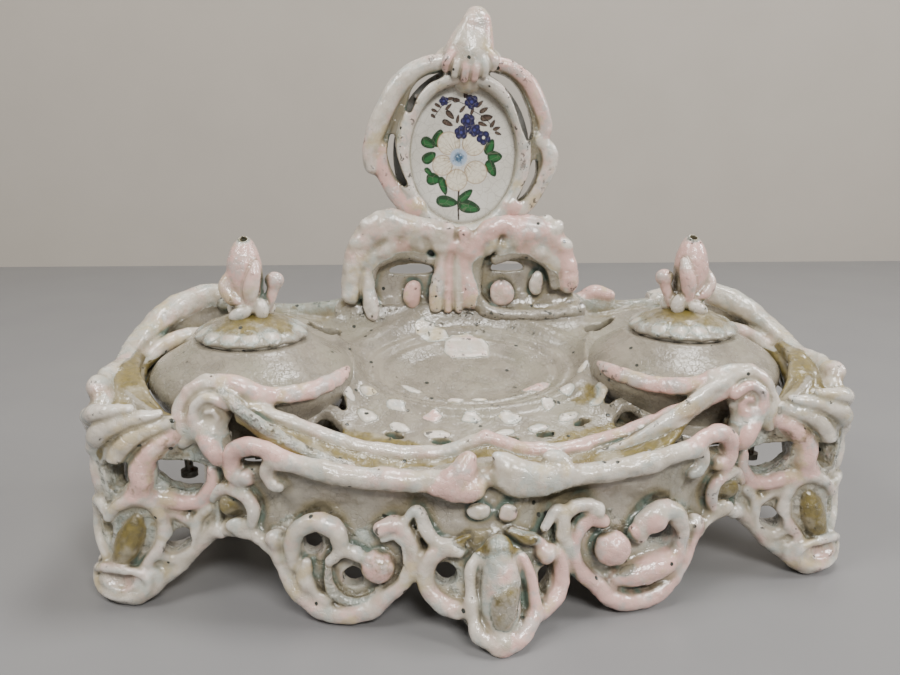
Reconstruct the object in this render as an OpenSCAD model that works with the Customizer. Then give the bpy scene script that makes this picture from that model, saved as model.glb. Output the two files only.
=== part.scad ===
// Cast-iron double inkstand: sloping tray with two domed ink wells, pen rail,
// pierced front apron, two wing castings and an upright back with an oval plaque.
// Millimetres, +Z up, front towards -Y, origin on the ground under the middle.

/* [Stand] */
// Overall width across the two wing castings
stand_w = 268; // [264:1:274]
// Reach of the front middle foot and of the rear feet from the origin
reach = 72; // [71:0.5:74]
// Height of the tip of the crest above the ground
stand_h = 207; // [204:1:212]

/* [Deck] */
// Slope of the deck, rising towards the back, in degrees
deck_slope = 20; // [19:0.5:21]
// Height of the deck's top at its front edge
deck_front_z = 50; // [49:0.5:51]
// Thickness of the deck plate
deck_t = 4; // [3.5:0.1:4.5]
// Depth of the saucer pressed into the deck
saucer_depth = 5; // [4.5:0.1:5.5]

/* [Wells] */
// Distance of each well's axis from the middle
well_x = 84; // [83:0.5:85]
// Distance of the well axes behind the origin
well_y = 14; // [13:0.5:15]
// Height of the flat rim on top of a well housing
well_top = 82; // [81.5:0.1:83]
// Radius of the hole that an ink pot hangs in
well_bore_r = 17.2; // [17:0.1:17.6]
// Outer radius of a well housing
housing_r = 38; // [37.5:0.1:38.5]

/* [Pots and lids] */
// Outer radius of an ink pot below its flange
pot_r = 16.4; // [16:0.1:16.8]
// Height of an ink pot below its flange
pot_h = 36; // [32:0.5:38]
// Radius of a lid
lid_r = 21.2; // [21:0.1:22]
// Height of a lid's rosebud finial
bud_h = 28; // [26:0.5:30]

/* [Back] */
// Half width of the back plate at its foot
back_half_w = 50; // [48:0.5:51]
// Height of the middle of the oval plaque
plaque_z = 148.6; // [148:0.1:149]
// Half width of the plaque's visible face
plaque_a = 22.6; // [22:0.1:23]
// Half height of the plaque's visible face
plaque_b = 28.4; // [28:0.1:29]

/* [Hidden] */
$fn = 64;

iron_pink = [0.89, 0.84, 0.81];
iron_grey = [0.66, 0.63, 0.59];
iron_ochre = [0.60, 0.54, 0.32];
steel = [0.45, 0.44, 0.42];

big = 400;
sides = [-1, 1];
deck_front_y = -26;
deck_rear_y = 58;
gap = 0.1;                       // clearance round a screw and round a stud

function deck_z(y) = deck_front_z + (y - deck_front_y) * tan(deck_slope);
under_t = deck_t / cos(deck_slope);          // deck thickness measured upright
function under_z(y) = deck_z(y) - under_t;

// ------------------------------------------------------------ shared helpers
module deck_frame() {
    translate([0, deck_front_y, deck_front_z]) rotate([deck_slope, 0, 0]) children();
}
module above_deck(level) {
    deck_frame() translate([-big / 2, -big / 2, level]) cube([big, big, big]);
}
module below_deck(level) {
    deck_frame() translate([-big / 2, -big / 2, level - big]) cube([big, big, big]);
}
module along_y(x, z, y0, y1, r) {
    translate([x, y0, z]) rotate([-90, 0, 0]) cylinder(r = r, h = y1 - y0);
}
module upright(y0, y1) {         // an outline drawn in X and Z, given a thickness in Y
    translate([0, y1, 0]) rotate([90, 0, 0]) linear_extrude(y1 - y0) children();
}
function oval(a, b, z, n = 48) = [for (i = [0:n - 1]) [a * cos(i * 360 / n), z + b * sin(i * 360 / n)]];
function mirrored(half) = concat(
    [for (i = [len(half) - 1:-1:1]) [-half[i][0], half[i][1]]], half);
function band(path, dy) = concat(path, [for (i = [len(path) - 1:-1:0]) path[i] + [0, dy]]);
// A screw that stands upright: head below z, shank above it
module up_screw(x, y, z, length, r, head_r, head_h) {
    translate([x, y, z - head_h]) cylinder(r = head_r, h = head_h);
    translate([x, y, z - 0.5]) cylinder(r = r, h = length + 0.5);
}
module up_hole(x, y, z, length, r) {
    translate([x, y, z - 1]) cylinder(r = r + gap, h = length + 1.2);
}

// ------------------------------------------------------------ deck and saucer
saucer_y = 23.5;
saucer_r = 28;
saucer_half = 18;                // half distance between the saucer's end centres
floor_r = 22;
floor_t = 3;
deck_bore_r = 20;
deck_rear_r = 45;                // radius of the deck where it meets a wing casting

module deck_outline() {
    translate([-64, deck_front_y]) square([128, deck_rear_y - deck_front_y]);
    for (s = sides) {
        translate([s * well_x, well_y]) circle(r = housing_r + 0.5);
        intersection() {
            translate([s * well_x, well_y]) circle(r = deck_rear_r);
            translate([-big / 2, well_y - 4]) square([big, deck_rear_y - well_y + 4]);
        }
        translate([s * (64 + well_x) / 2 - 12, well_y]) square([24, deck_rear_y - 1 - well_y]);
    }
}
module stadium(r, half, z0, z1) {
    for (s = sides) translate([s * half, 0, z0]) cylinder(r = r, h = z1 - z0);
    translate([-half, -r, z0]) cube([2 * half, 2 * r, z1 - z0]);
}
pierce_x = [8, 20, 32];
module saucer_place() {
    deck_frame() translate([0, (saucer_y - deck_front_y) / cos(deck_slope), 0]) children();
}
module tray_deck() color(iron_grey) difference() {
    union() {
        intersection() {
            linear_extrude(120) deck_outline();
            difference() {
                below_deck(0);
                below_deck(-deck_t);
            }
        }
        saucer_place() stadium(saucer_r + 2, saucer_half, -saucer_depth - floor_t, -deck_t / 2);
        spot_bosses();
    }
    saucer_place() stadium(saucer_r, saucer_half, -saucer_depth / 2, 1);
    saucer_place() stadium(floor_r, saucer_half, -saucer_depth, 0);
    for (s = sides) {
        translate([s * well_x, well_y, 0]) cylinder(r = deck_bore_r, h = 150);
        for (x = pierce_x) deck_frame() translate([s * x, 14, -20]) cylinder(r = 1.6, h = 40);
    }
    rail_screw_holes();
    apron_screw_holes();
    wing_screw_holes();
    skirt_screw_holes();
    housing_screw_holes();
    back_screw_holes();
}
// Flat-bottomed bosses under the sloping deck, where upright screws bear
module spot_bosses() {
    difference() {
        union() {
            for (s = sides) {
                translate([s * back_screw_x, back_screw_y, back_screw_z]) cylinder(r = 3, h = 12);
                for (t = sides) translate([s * well_x + t * housing_screw_r, well_y, housing_screw_z])
                    cylinder(r = 4, h = 8);
            }
        }
        above_deck(-deck_t / 2);
    }
}

// ------------------------------------------------------------ pen rail
rail_y0 = -38;
rail_ridge_t = 3;
rail_mid_z = 53;                 // top of the ridges in the middle
rail_rise = 18;                  // how far the ridges climb towards the volutes
rail_half = 92;
rail_h = 10;
channel_drop = 6;
volute_x = 98;
volute_z = 68;
volute_r = 9.5;
function ridge_z(x) = rail_mid_z + rail_rise * pow(x / rail_half, 2);
function rail_band(top, bottom) = let (xs = [for (i = [-12:12]) i * rail_half / 12])
    concat([for (x = xs) [x, ridge_z(x) - top]],
        [for (i = [24:-1:0]) [xs[i], ridge_z(xs[i]) - bottom]]);
rail_screw_x = 24;
rail_screw_y = -18;
rail_screw_z = 38;
module rail_screw_holes() for (s = sides)
    up_hole(s * rail_screw_x, rail_screw_y, rail_screw_z, 12, 1.5);
module lug(x, y0, y1, z0, w) {   // a block under the deck, its top on the deck's underside
    difference() {
        translate([x - w / 2, y0, z0]) cube([w, y1 - y0, 60]);
        above_deck(-deck_t);
    }
}
// Volute scroll and the post under it, at one end of the rail
module volute(s) {
    along_y(s * volute_x, volute_z, rail_y0, deck_front_y, volute_r);
    translate([s * volute_x - 5, rail_y0, 50]) cube([10, 6, volute_z - 50]);
}
module pen_rail() color(iron_pink) difference() {
    union() {
        upright(rail_y0, rail_y0 + rail_ridge_t) polygon(rail_band(0, rail_h));
        upright(rail_y0 + rail_ridge_t, deck_front_y - rail_ridge_t)
            polygon(rail_band(channel_drop, rail_h));
        upright(deck_front_y - rail_ridge_t, deck_front_y) polygon(rail_band(0, rail_h));
        for (s = sides) {
            volute(s);
            lug(s * rail_screw_x, rail_y0 + 6, rail_screw_y + 5, rail_screw_z, 10);
            translate([s * rail_screw_x - 5, rail_y0 + 6, rail_screw_z]) cube([10, 6, 9]);
        }
    }
    rail_screw_holes();
}
module rail_screws() color(steel) for (s = sides)
    up_screw(s * rail_screw_x, rail_screw_y, rail_screw_z, 12, 1.5, 3, 2.2);

// ------------------------------------------------------------ front apron
apron_tiers = 5;
apron_top = 47.5;
apron_t = 7;
arch_x = 84;                     // wide arch between a side lobe and a corner foot
arch_r = 19.5;
apron_low = [[0, -reach + 3], [7, -reach + 4], [14, -62], [27, -53], [48, -49], [62, -46],
    [78, -37], [92.8, -28]];
apron_high = [[0, -48], [7, -48], [14, -47], [27, -46], [48, -45], [62, -44],
    [78, -37], [92.8, -28]];
apron_screw_x = 54;
apron_screw_y = -19;
apron_screw_z = 36;
module apron_screw_holes() for (s = sides)
    up_hole(s * apron_screw_x, apron_screw_y, apron_screw_z, 13.5, 1.5);
function tier_path(k) = [for (i = [0:len(apron_low) - 1])
    apron_low[i] * (1 - k) + apron_high[i] * k];
module front_apron() color(iron_pink) difference() {
    union() {
        for (i = [0:apron_tiers - 1]) translate([0, 0, i * apron_top / apron_tiers])
            linear_extrude(apron_top / apron_tiers)
                polygon(band(mirrored(tier_path(i / (apron_tiers - 1))), apron_t));
        translate([0, -reach + 9, 0]) cylinder(r = 9, h = 12);
        for (s = sides) lug(s * apron_screw_x, -40, apron_screw_y + 5, apron_screw_z, 10);
    }
    for (s = sides) {
        along_y(s * 25, 3, -90, -20, 10);                // arch beside the middle foot
        along_y(s * arch_x, 0, -90, -20, arch_r);        // arch towards the corner foot
        along_y(s * 16, 21, -90, -30, 3.6);              // eyes of the scrolls
        along_y(s * 59, 28, -90, -25, 3.8);
        along_y(s * 47, 14, -90, -25, 3.2);
    }
    apron_screw_holes();
}
module apron_screws() color(steel) for (s = sides)
    up_screw(s * apron_screw_x, apron_screw_y, apron_screw_z, 13.5, 1.5, 3, 2.2);

// ------------------------------------------------------------ wing castings
wing_r = stand_w / 2 - well_x;   // outer radius of the wing shell round the well
wing_t = 5;
wing_base = 58;
wing_top = 97;
corner_top = 64;
wing_from = 90;                  // angles of the shell, for the right-hand wing
wing_span = -155;
leg_from = 80;                   // and of its rear leg
leg_span = -35;
front_screw = [105, -11, 40];
rear_screw = [100, 49, 62];
module wing_screw_holes() for (s = sides) {
    up_hole(s * front_screw[0], front_screw[1], front_screw[2], 13, 1.5);
    up_hole(s * rear_screw[0], rear_screw[1], rear_screw[2], 13, 1.5);
}
module sector(r0, r1, from, span, z0, z1) {
    rotate([0, 0, from]) rotate_extrude(angle = span)
        translate([r0, z0]) square([r1 - r0, z1 - z0]);
}
corner_path = [[93, -27], [104, -27], [116, -30], [125, -30], [131, -25], [134, -13],
    [134, 4], [129, 4], [129, -12], [126.5, -21], [123, -25.5], [116, -25.5], [104, -24], [93, -24]];
module wing_casting() color(iron_pink) difference() {
    union() {
        difference() {
            translate([well_x, well_y, 0]) sector(wing_r - wing_t, wing_r, wing_from, wing_span, wing_base, wing_top);
            // the rim falls from the rear towards the outer front corner
            translate([well_x, well_y + wing_r, wing_top]) rotate([22, 0, 0]) rotate([0, 8, 0])
                translate([-big / 2, -big, 0]) cube([big, 2 * big, big]);
        }
        linear_extrude(corner_top) polygon(corner_path);
        // rear leg and its toe
        translate([well_x, well_y, 0])
            sector(wing_r - wing_t + 0.6, wing_r - 0.6, leg_from, leg_span, 0, wing_base + 1);
        translate([104, reach - 9, 0]) cylinder(r = 9, h = 6);
        translate([121, -24, 0]) cylinder(r = 8, h = 6);
        lug(front_screw[0], -26, front_screw[1] + 5, front_screw[2], 10);
        lug(rear_screw[0], rear_screw[1] - 5, rear_screw[1] + 7, rear_screw[2], 10);
        // ledge that ties the shell to the corner bracket
        translate([114, -29, wing_base + 0.5]) cube([16, 12, 5]);
    }
    along_y(104, 45, -60, -10, 4.5);                     // windows of the corner bracket
    along_y(107, 22, -60, -10, 5);
    along_y(124, 46, -60, -10, 3.5);
    translate([110, -5, 34]) rotate([0, 90, 0]) cylinder(r = 5, h = 40);
    along_y(arch_x, 0, -60, -10, arch_r);
    volute(1);
    wing_screw_holes();
}
module left_wing_casting() mirror([1, 0, 0]) wing_casting();
module right_wing_casting() wing_casting();
module wing_screws() color(steel) for (s = sides) {
    up_screw(s * front_screw[0], front_screw[1], front_screw[2], 13, 1.5, 3, 2.2);
    up_screw(s * rear_screw[0], rear_screw[1], rear_screw[2], 13, 1.5, 3, 2.2);
}

// ------------------------------------------------------------ well housings
housing_t = 3.5;
housing_screw_r = 29;
housing_screw_z = 56;
module housing_screw_holes() for (s = sides) for (t = sides)
    up_hole(s * well_x + t * housing_screw_r, well_y, housing_screw_z, 13, 1.25);
module housing_profile() polygon([[housing_r, 40], [housing_r, 67], [housing_r - 2, 71],
    [housing_r - 7, 75.5], [housing_r - 13, 79.5], [23.5, 81], [22.5, well_top],
    [well_bore_r, well_top], [well_bore_r, well_top - 4], [21, well_top - 4.5],
    [housing_r - 15, 76], [housing_r - 8.5, 71.5], [housing_r - housing_t, 66],
    [housing_r - housing_t, 40]]);
module well_housing(s) color(iron_grey) difference() {
    union() {
        translate([s * well_x, well_y, 0]) rotate_extrude() housing_profile();
        for (t = sides) translate([s * well_x + t * housing_screw_r, well_y, 50])
            cylinder(r = 3.5, h = 22);
    }
    below_deck(0);
    for (a = [-60, -20, 20]) translate([s * well_x, well_y, 60]) rotate([90, 0, a])
        cylinder(r = 4, h = 60);
    housing_screw_holes();
}
module left_well_housing() well_housing(-1);
module right_well_housing() well_housing(1);
module housing_screws() color(steel) for (s = sides) for (t = sides)
    up_screw(s * well_x + t * housing_screw_r, well_y, housing_screw_z, 13, 1.25, 2.5, 2);

// ------------------------------------------------------------ rear skirt
skirt_t = 5;
skirt_x = 84;
skirt_screw_x = 60;
skirt_screw_y = 53;
skirt_screw_z = 62;
module skirt_screw_holes() for (s = sides)
    up_hole(s * skirt_screw_x, skirt_screw_y, skirt_screw_z, 15, 1.5);
module rear_skirt() color(iron_grey) difference() {
    union() {
        difference() {
            translate([-skirt_x, deck_rear_y, 12]) cube([2 * skirt_x, skirt_t, 80]);
            above_deck(0);
        }
        for (s = sides) lug(s * skirt_screw_x, skirt_screw_y - 5, deck_rear_y + 1, skirt_screw_z, 10);
    }
    translate([-58, 50, -10]) cube([116, 20, 42]);
    for (s = sides) along_y(s * 58, 20, 50, 70, 12);
    skirt_screw_holes();
}
module skirt_screws() color(steel) for (s = sides)
    up_screw(s * skirt_screw_x, skirt_screw_y, skirt_screw_z, 15, 1.5, 3, 2.2);

// ------------------------------------------------------------ back plate
back_y0 = 52;
back_y1 = 58;
back_screw_x = 34;
back_screw_y = 54.5;
back_screw_z = 70;
frame_screw_z = [103, 111];
module back_screw_holes() for (s = sides)
    up_hole(s * back_screw_x, back_screw_y, back_screw_z, 20, 1.25);
function back_half() = [[0, 60], [back_half_w, 60], [back_half_w, 92], [back_half_w - 1, 100],
    [back_half_w - 4, 109], [back_half_w - 9, 114.5], [30, 116.5], [20, 114], [13, 114], [0, 114]];
module back_plate() color(iron_pink) difference() {
    upright(back_y0, back_y1) polygon(mirrored(back_half()));
    below_deck(0);
    for (s = sides) {
        for (x = [15, 25]) along_y(s * x, 100, 40, 70, 3.2);
        translate([s * 20 - 5, 40, 96.8]) cube([10, 30, 6.4]);
    }
    frame_screw_holes();
    back_screw_holes();
    plaque_frame_solid();
}
module back_plate_screws() color(steel) for (s = sides)
    up_screw(s * back_screw_x, back_screw_y, back_screw_z, 20, 1.25, 2.8, 2.2);

// ------------------------------------------------------------ plaque frame
frame_y1 = 60;
frame_side = 40;                 // half width of the pierced frame
frame_rise = 41;                 // half height of the pierced frame
rebate_y = 55;
rebate = 2.2;                    // overlap of the frame's lip on the plaque
tongue_y1 = 62;
module wedge(a0, a1) polygon(concat([[0, plaque_z]],
    [for (a = [a0, (a0 + a1) / 2, a1]) [70 * cos(a), plaque_z + 70 * sin(a)]]));
module slot_pair(a0, a1) for (s = [0, 1]) mirror([s, 0]) intersection() {
    difference() {
        polygon(oval(34.5, 38.5, plaque_z));
        polygon(oval(30, 35.5, plaque_z));
    }
    wedge(a0, a1);
}
module plaque_frame_solid() difference() {
    union() {
        upright(back_y0, frame_y1) intersection() {
            polygon(oval(frame_side, frame_rise, plaque_z));
            translate([-big / 2, 114]) square([big, big]);
        }
        translate([-10, back_y1, 98]) cube([20, tongue_y1 - back_y1, 22]);
    }
    upright(back_y0 - 1, rebate_y + 0.5) polygon(oval(plaque_a, plaque_b, plaque_z));
    upright(rebate_y, frame_y1 + 5)
        polygon(oval(plaque_a + rebate, plaque_b + rebate, plaque_z));
    upright(back_y0 - 1, tongue_y1 + 1) {
        slot_pair(22, 62);
        slot_pair(-42, -4);
    }
}
module frame_screw_holes() for (z = frame_screw_z) along_y(0, z, back_y0 + 1.5, 70, 1.3 + gap);
cover_a = 29;
cover_b = 35;
cover_t = 0.8;
cover_screws = [for (a = [45:90:315]) [27.2 * cos(a), plaque_z + 33.2 * sin(a)]];
module cover_screw_holes() for (p = cover_screws)
    along_y(p[0], p[1], frame_y1 - 4, frame_y1 + 3, 0.9 + gap);
module plaque_frame() color(iron_pink) difference() {
    plaque_frame_solid();
    frame_screw_holes();
    cover_screw_holes();
    crest_stud_hole();
}
module frame_screws() color(steel) for (z = frame_screw_z) {
    along_y(0, z, back_y0 + 1.8, tongue_y1, 1.3);
    along_y(0, z, tongue_y1, tongue_y1 + 1.8, 2.6);
}

// ------------------------------------------------------------ plaque and its back
plaque_t = 3.5;
backing_t = frame_y1 - rebate_y - plaque_t;
module porcelain_plaque() color([0.93, 0.91, 0.86]) upright(rebate_y, rebate_y + plaque_t)
    polygon(oval(plaque_a + rebate - 0.2, plaque_b + rebate - 0.2, plaque_z));
module plaque_backing() color([0.55, 0.45, 0.34]) upright(frame_y1 - backing_t, frame_y1)
    polygon(oval(plaque_a + rebate - 0.3, plaque_b + rebate - 0.3, plaque_z));
module plaque_back_cover() color([0.40, 0.39, 0.37]) difference() {
    upright(frame_y1, frame_y1 + cover_t) difference() {
        polygon(oval(cover_a, cover_b, plaque_z));
        translate([-11, plaque_z - 60]) square([22, 32]);    // clears the tongue of the frame
    }
    cover_screw_holes();
}
module plaque_cover_screws() color(steel) for (p = cover_screws) {
    along_y(p[0], p[1], frame_y1 - 3.8, frame_y1 + cover_t, 0.9);
    along_y(p[0], p[1], frame_y1 + cover_t, frame_y1 + cover_t + 1, 1.8);
}

// ------------------------------------------------------------ crest
crest_y = 56;
crest_z = plaque_z + frame_rise;
stud_r = 1.5;
module crest_stud_hole() translate([0, crest_y, crest_z - 7]) cylinder(r = stud_r + gap, h = 8);
module crest_finial() color(iron_pink) difference() {
    union() {
        translate([0, crest_y, 0]) rotate_extrude() polygon([[0, crest_z], [10, crest_z],
            [11, crest_z + 2], [8.5, crest_z + 5], [7, crest_z + 8], [6.5, stand_h - 5],
            [4.5, stand_h - 1.5], [2, stand_h], [0, stand_h]]);
        // leaf that hangs over the front of the frame
        translate([0, back_y0 - 2.5, 0]) upright(0, 2.5)
            polygon([[-9, crest_z + 3], [-11, crest_z - 5], [-8, crest_z - 11], [8, crest_z - 11],
                [11, crest_z - 5], [9, crest_z + 3]]);
    }
    translate([0, crest_y, crest_z - 1]) cylinder(r = stud_r + gap, h = 8);
}
module crest_stud() color(steel) translate([0, crest_y, crest_z - 6.8]) cylinder(r = stud_r, h = 13.6);

// ------------------------------------------------------------ ink pots
flange_r = 19.4;
flange_t = 1.6;
pot_wall = 2.6;
pot_floor = 3;
module ink_pot(s) color([0.90, 0.90, 0.88]) translate([s * well_x, well_y, 0]) difference() {
    union() {
        translate([0, 0, well_top - pot_h]) cylinder(r = pot_r, h = pot_h);
        translate([0, 0, well_top]) cylinder(r = flange_r, h = flange_t);
    }
    translate([0, 0, well_top - pot_h + pot_floor]) cylinder(r = pot_r - pot_wall, h = pot_h);
}
module left_ink_pot() ink_pot(-1);
module right_ink_pot() ink_pot(1);

// ------------------------------------------------------------ lids
lid_seat = well_top + flange_t;
lid_rim_z = well_top + 0.4;
lid_edge_z = lid_seat + 1.6;
cone_z = lid_seat + 9;
finial_bore = 2.1;
nut_z = lid_seat + 0.4;
nut_h = 2.4;
module lid(s) color(iron_ochre) translate([s * well_x, well_y, 0]) rotate_extrude()
    polygon([[finial_bore, cone_z], [5.5, cone_z], [8, cone_z - 1], [14, lid_edge_z + 3.4],
        [lid_r - 1.5, lid_edge_z + 1], [lid_r, lid_edge_z], [lid_r, lid_rim_z], [flange_r + 0.3, lid_rim_z],
        [flange_r + 0.3, lid_seat], [4.6, lid_seat], [4.6, nut_z + nut_h], [finial_bore, nut_z + nut_h]]);
module left_lid() lid(-1);
module right_lid() lid(1);
module lid_finial(s) color(iron_pink) translate([s * well_x, well_y, cone_z]) {
    rotate_extrude() polygon([[0, nut_z - cone_z], [finial_bore - 0.05, nut_z - cone_z],
        [finial_bore - 0.05, 0], [5.5, 0], [8.5, 2], [6, 5], [6.8, 9], [7, bud_h - 12],
        [5.5, bud_h - 5], [2.5, bud_h], [0, bud_h]]);
    for (t = sides) translate([t * 8.5, 0, 8]) sphere(r = 3.4, $fn = 32);
    for (t = sides) translate([t * 4, 0, 6.5]) rotate([0, t * 70, 0]) cylinder(r = 2.4, h = 5);
}
module left_lid_finial() lid_finial(-1);
module right_lid_finial() lid_finial(1);
module finial_nut(s) color(steel) translate([s * well_x, well_y, nut_z]) difference() {
    cylinder(r = 4, h = nut_h, $fn = 6);
    translate([0, 0, -1]) cylinder(r = finial_bore, h = nut_h + 2);
}
module left_finial_nut() finial_nut(-1);
module right_finial_nut() finial_nut(1);

// ------------------------------------------------------------ assembly
tray_deck();
pen_rail();
front_apron();
left_wing_casting();
right_wing_casting();
left_well_housing();
right_well_housing();
rear_skirt();
back_plate();
plaque_frame();
crest_finial();
crest_stud();
porcelain_plaque();
plaque_backing();
plaque_back_cover();
plaque_cover_screws();
frame_screws();
back_plate_screws();
rail_screws();
apron_screws();
wing_screws();
skirt_screws();
housing_screws();
left_ink_pot();
right_ink_pot();
left_lid();
right_lid();
left_lid_finial();
right_lid_finial();
left_finial_nut();
right_finial_nut();
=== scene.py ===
# Painted cast-iron double inkstand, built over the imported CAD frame.
# Every ornamented casting is a signed distance field (in millimetres) made of tubes, blobs
# and sheets, turned into a mesh; paint zones travel with the field as vertex attributes.
import math

import bpy
import numpy as np
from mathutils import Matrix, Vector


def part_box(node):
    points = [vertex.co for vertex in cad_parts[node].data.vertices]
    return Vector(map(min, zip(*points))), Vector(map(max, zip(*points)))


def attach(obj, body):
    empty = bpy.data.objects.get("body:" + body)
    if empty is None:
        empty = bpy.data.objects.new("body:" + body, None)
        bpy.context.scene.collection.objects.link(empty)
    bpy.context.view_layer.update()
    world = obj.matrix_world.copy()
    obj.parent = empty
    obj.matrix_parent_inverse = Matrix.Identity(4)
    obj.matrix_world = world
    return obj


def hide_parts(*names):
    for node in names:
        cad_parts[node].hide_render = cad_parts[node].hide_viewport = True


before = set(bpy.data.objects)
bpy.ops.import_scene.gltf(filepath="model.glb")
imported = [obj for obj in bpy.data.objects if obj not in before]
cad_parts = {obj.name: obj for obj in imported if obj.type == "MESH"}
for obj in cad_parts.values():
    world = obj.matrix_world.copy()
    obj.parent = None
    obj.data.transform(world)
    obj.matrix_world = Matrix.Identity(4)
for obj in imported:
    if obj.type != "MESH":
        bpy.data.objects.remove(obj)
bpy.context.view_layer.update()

import openvdb as vdb
from mathutils import Matrix, Vector

MM = 0.001
COARSER = 1.0
FAR = 9.0                       # distance value of empty space, mm
MARGIN = 1.5                    # how far past a blend a shape is worked out, mm
SOFT = 2.1                      # how thickly the old paint fills the joints between forms
SIDES = (-1, 1)

# Paint zones: (cream, ochre, pink), each 0 to 1; grey is none of them.
GREY = (0.0, 0.0, 0.0)
WHITE = (1.0, 0.0, 0.0)
CREAM = (1.0, 0.0, 0.35)
PINK = (1.0, 0.0, 1.0)
PEACH = (1.0, 0.3, 1.0)
OCHRE = (0.0, 1.0, 0.0)
DULL = (0.45, 0.3, 0.2)


# ------------------------------------------------------------------ frame dimensions, mm
def node_box(name):
    lo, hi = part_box(name)
    return np.array(lo) / MM, np.array(hi) / MM


lid_lo, lid_hi = node_box("right_lid")
well = (lid_lo + lid_hi) / 2                       # axis of the right-hand well
LID_R = (lid_hi[0] - lid_lo[0]) / 2
housing_lo, housing_hi = node_box("right_well_housing")
HOUSING_R = (housing_hi[0] - housing_lo[0]) / 2
WELL_TOP = housing_hi[2]
plaque_lo, plaque_hi = node_box("porcelain_plaque")
plaque_mid = (plaque_lo + plaque_hi) / 2
DECK_TILT = 0.364                                  # slope of the deck, rising to the back
DECK_FRONT, DECK_LOW = -26, 50                     # y of the deck's front edge, and its height


def deck_z(y):
    return DECK_LOW + DECK_TILT * (y - DECK_FRONT)


# ------------------------------------------------------------------ curves and shapes
def spline(points, per=6):
    """Points along a smooth curve through the given rows; every column is interpolated."""
    p = np.asarray(points, float)
    if len(p) < 3:
        return p
    a = np.vstack([2 * p[0] - p[1], p, 2 * p[-1] - p[-2]])
    t = np.linspace(0, 1, per, endpoint=False)[:, None]
    rows = []
    for i in range(len(p) - 1):
        p0, p1, p2, p3 = a[i:i + 4]
        rows.append(0.5 * (2 * p1 + (p2 - p0) * t + (2 * p0 - 5 * p1 + 4 * p2 - p3) * t ** 2
                           + (3 * p1 - p0 - 3 * p2 + p3) * t ** 3))
    return np.vstack(rows + [p[-1:]])


def loop(points, per=5):
    """Closed smooth outline through the given points."""
    p = np.asarray(points, float)
    wrapped = spline(np.vstack([p[-1], p, p[0], p[1]]), per)
    return wrapped[per:-per - 1]


def flip(rows, s):
    """Rows of x and more numbers, with x turned to side s."""
    return [[s * row[0], *row[1:]] for row in rows]


def polygon_distance(points, u, v):
    """Signed distance to a closed polygon for u and v that broadcast, negative inside."""
    p = np.asarray(points, float)
    best = None
    inside = None
    for a, b in zip(p, np.roll(p, -1, axis=0)):
        e = b - a
        wu, wv = u - a[0], v - a[1]
        t = np.clip((wu * e[0] + wv * e[1]) / max(e @ e, 1e-9), 0, 1)
        d = (wu - t * e[0]) ** 2 + (wv - t * e[1]) ** 2
        best = d if best is None else np.minimum(best, d)
        if abs(e[1]) > 1e-9:
            hit = ((v >= a[1]) != (v >= b[1])) & (u < a[0] + (v - a[1]) * e[0] / e[1])
            inside = hit if inside is None else inside ^ hit
    return np.sqrt(best) * np.where(inside, -1, 1)


def smooth_step(a, b, x):
    t = np.clip((x - a) / (b - a), 0, 1)
    return t * t * (3 - 2 * t)


def rounded_plate(a, b, rim):
    """Distance to a plate with a rounded rim; a and b are measured from rim inside its faces."""
    return np.minimum(np.maximum(a, b), 0) + np.hypot(np.maximum(a, 0), np.maximum(b, 0)) - rim


class Tube:
    """Chain of round cones through rows of x, y, z, radius; flat squeezes it along a direction."""

    def __init__(self, rows, per=6, flat=None, squeeze=1.0):
        self.rows = spline(rows, per)
        r = self.rows[:, 3:4]
        self.lo = (self.rows[:, :3] - r).min(0)
        self.hi = (self.rows[:, :3] + r).max(0)
        self.flat = None if flat is None else np.array(flat, float) / np.linalg.norm(flat)
        self.squeeze = squeeze

    def __call__(self, x, y, z, reach):
        best = np.full((len(x), len(y), len(z)), FAR, np.float32)
        for a, b in zip(self.rows[:-1], self.rows[1:]):
            m = max(a[3], b[3]) + reach
            sub, parts = [], []
            for i, axis in enumerate((x, y, z)):
                i0, i1 = np.searchsorted(axis, (min(a[i], b[i]) - m, max(a[i], b[i]) + m))
                sub.append(slice(i0, i1))
                shape = [1, 1, 1]
                shape[i] = -1
                parts.append((axis[i0:i1] - a[i]).reshape(shape).astype(np.float32))
            if min(s.stop - s.start for s in sub) < 1:
                continue
            e = (b - a)[:3]
            t = parts[0] * e[0] + parts[1] * e[1] + parts[2] * e[2]
            t = np.clip(t / max(e @ e, 1e-9), 0, 1)
            q = [parts[i] - t * e[i] for i in range(3)]
            d2 = q[0] ** 2 + q[1] ** 2 + q[2] ** 2
            if self.flat is not None:
                n = q[0] * self.flat[0] + q[1] * self.flat[1] + q[2] * self.flat[2]
                d2 = d2 + (self.squeeze ** 2 - 1) * n ** 2
            d = np.sqrt(d2) - (a[3] + t * (b[3] - a[3]))
            best[tuple(sub)] = np.minimum(best[tuple(sub)], d)
        return best


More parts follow.
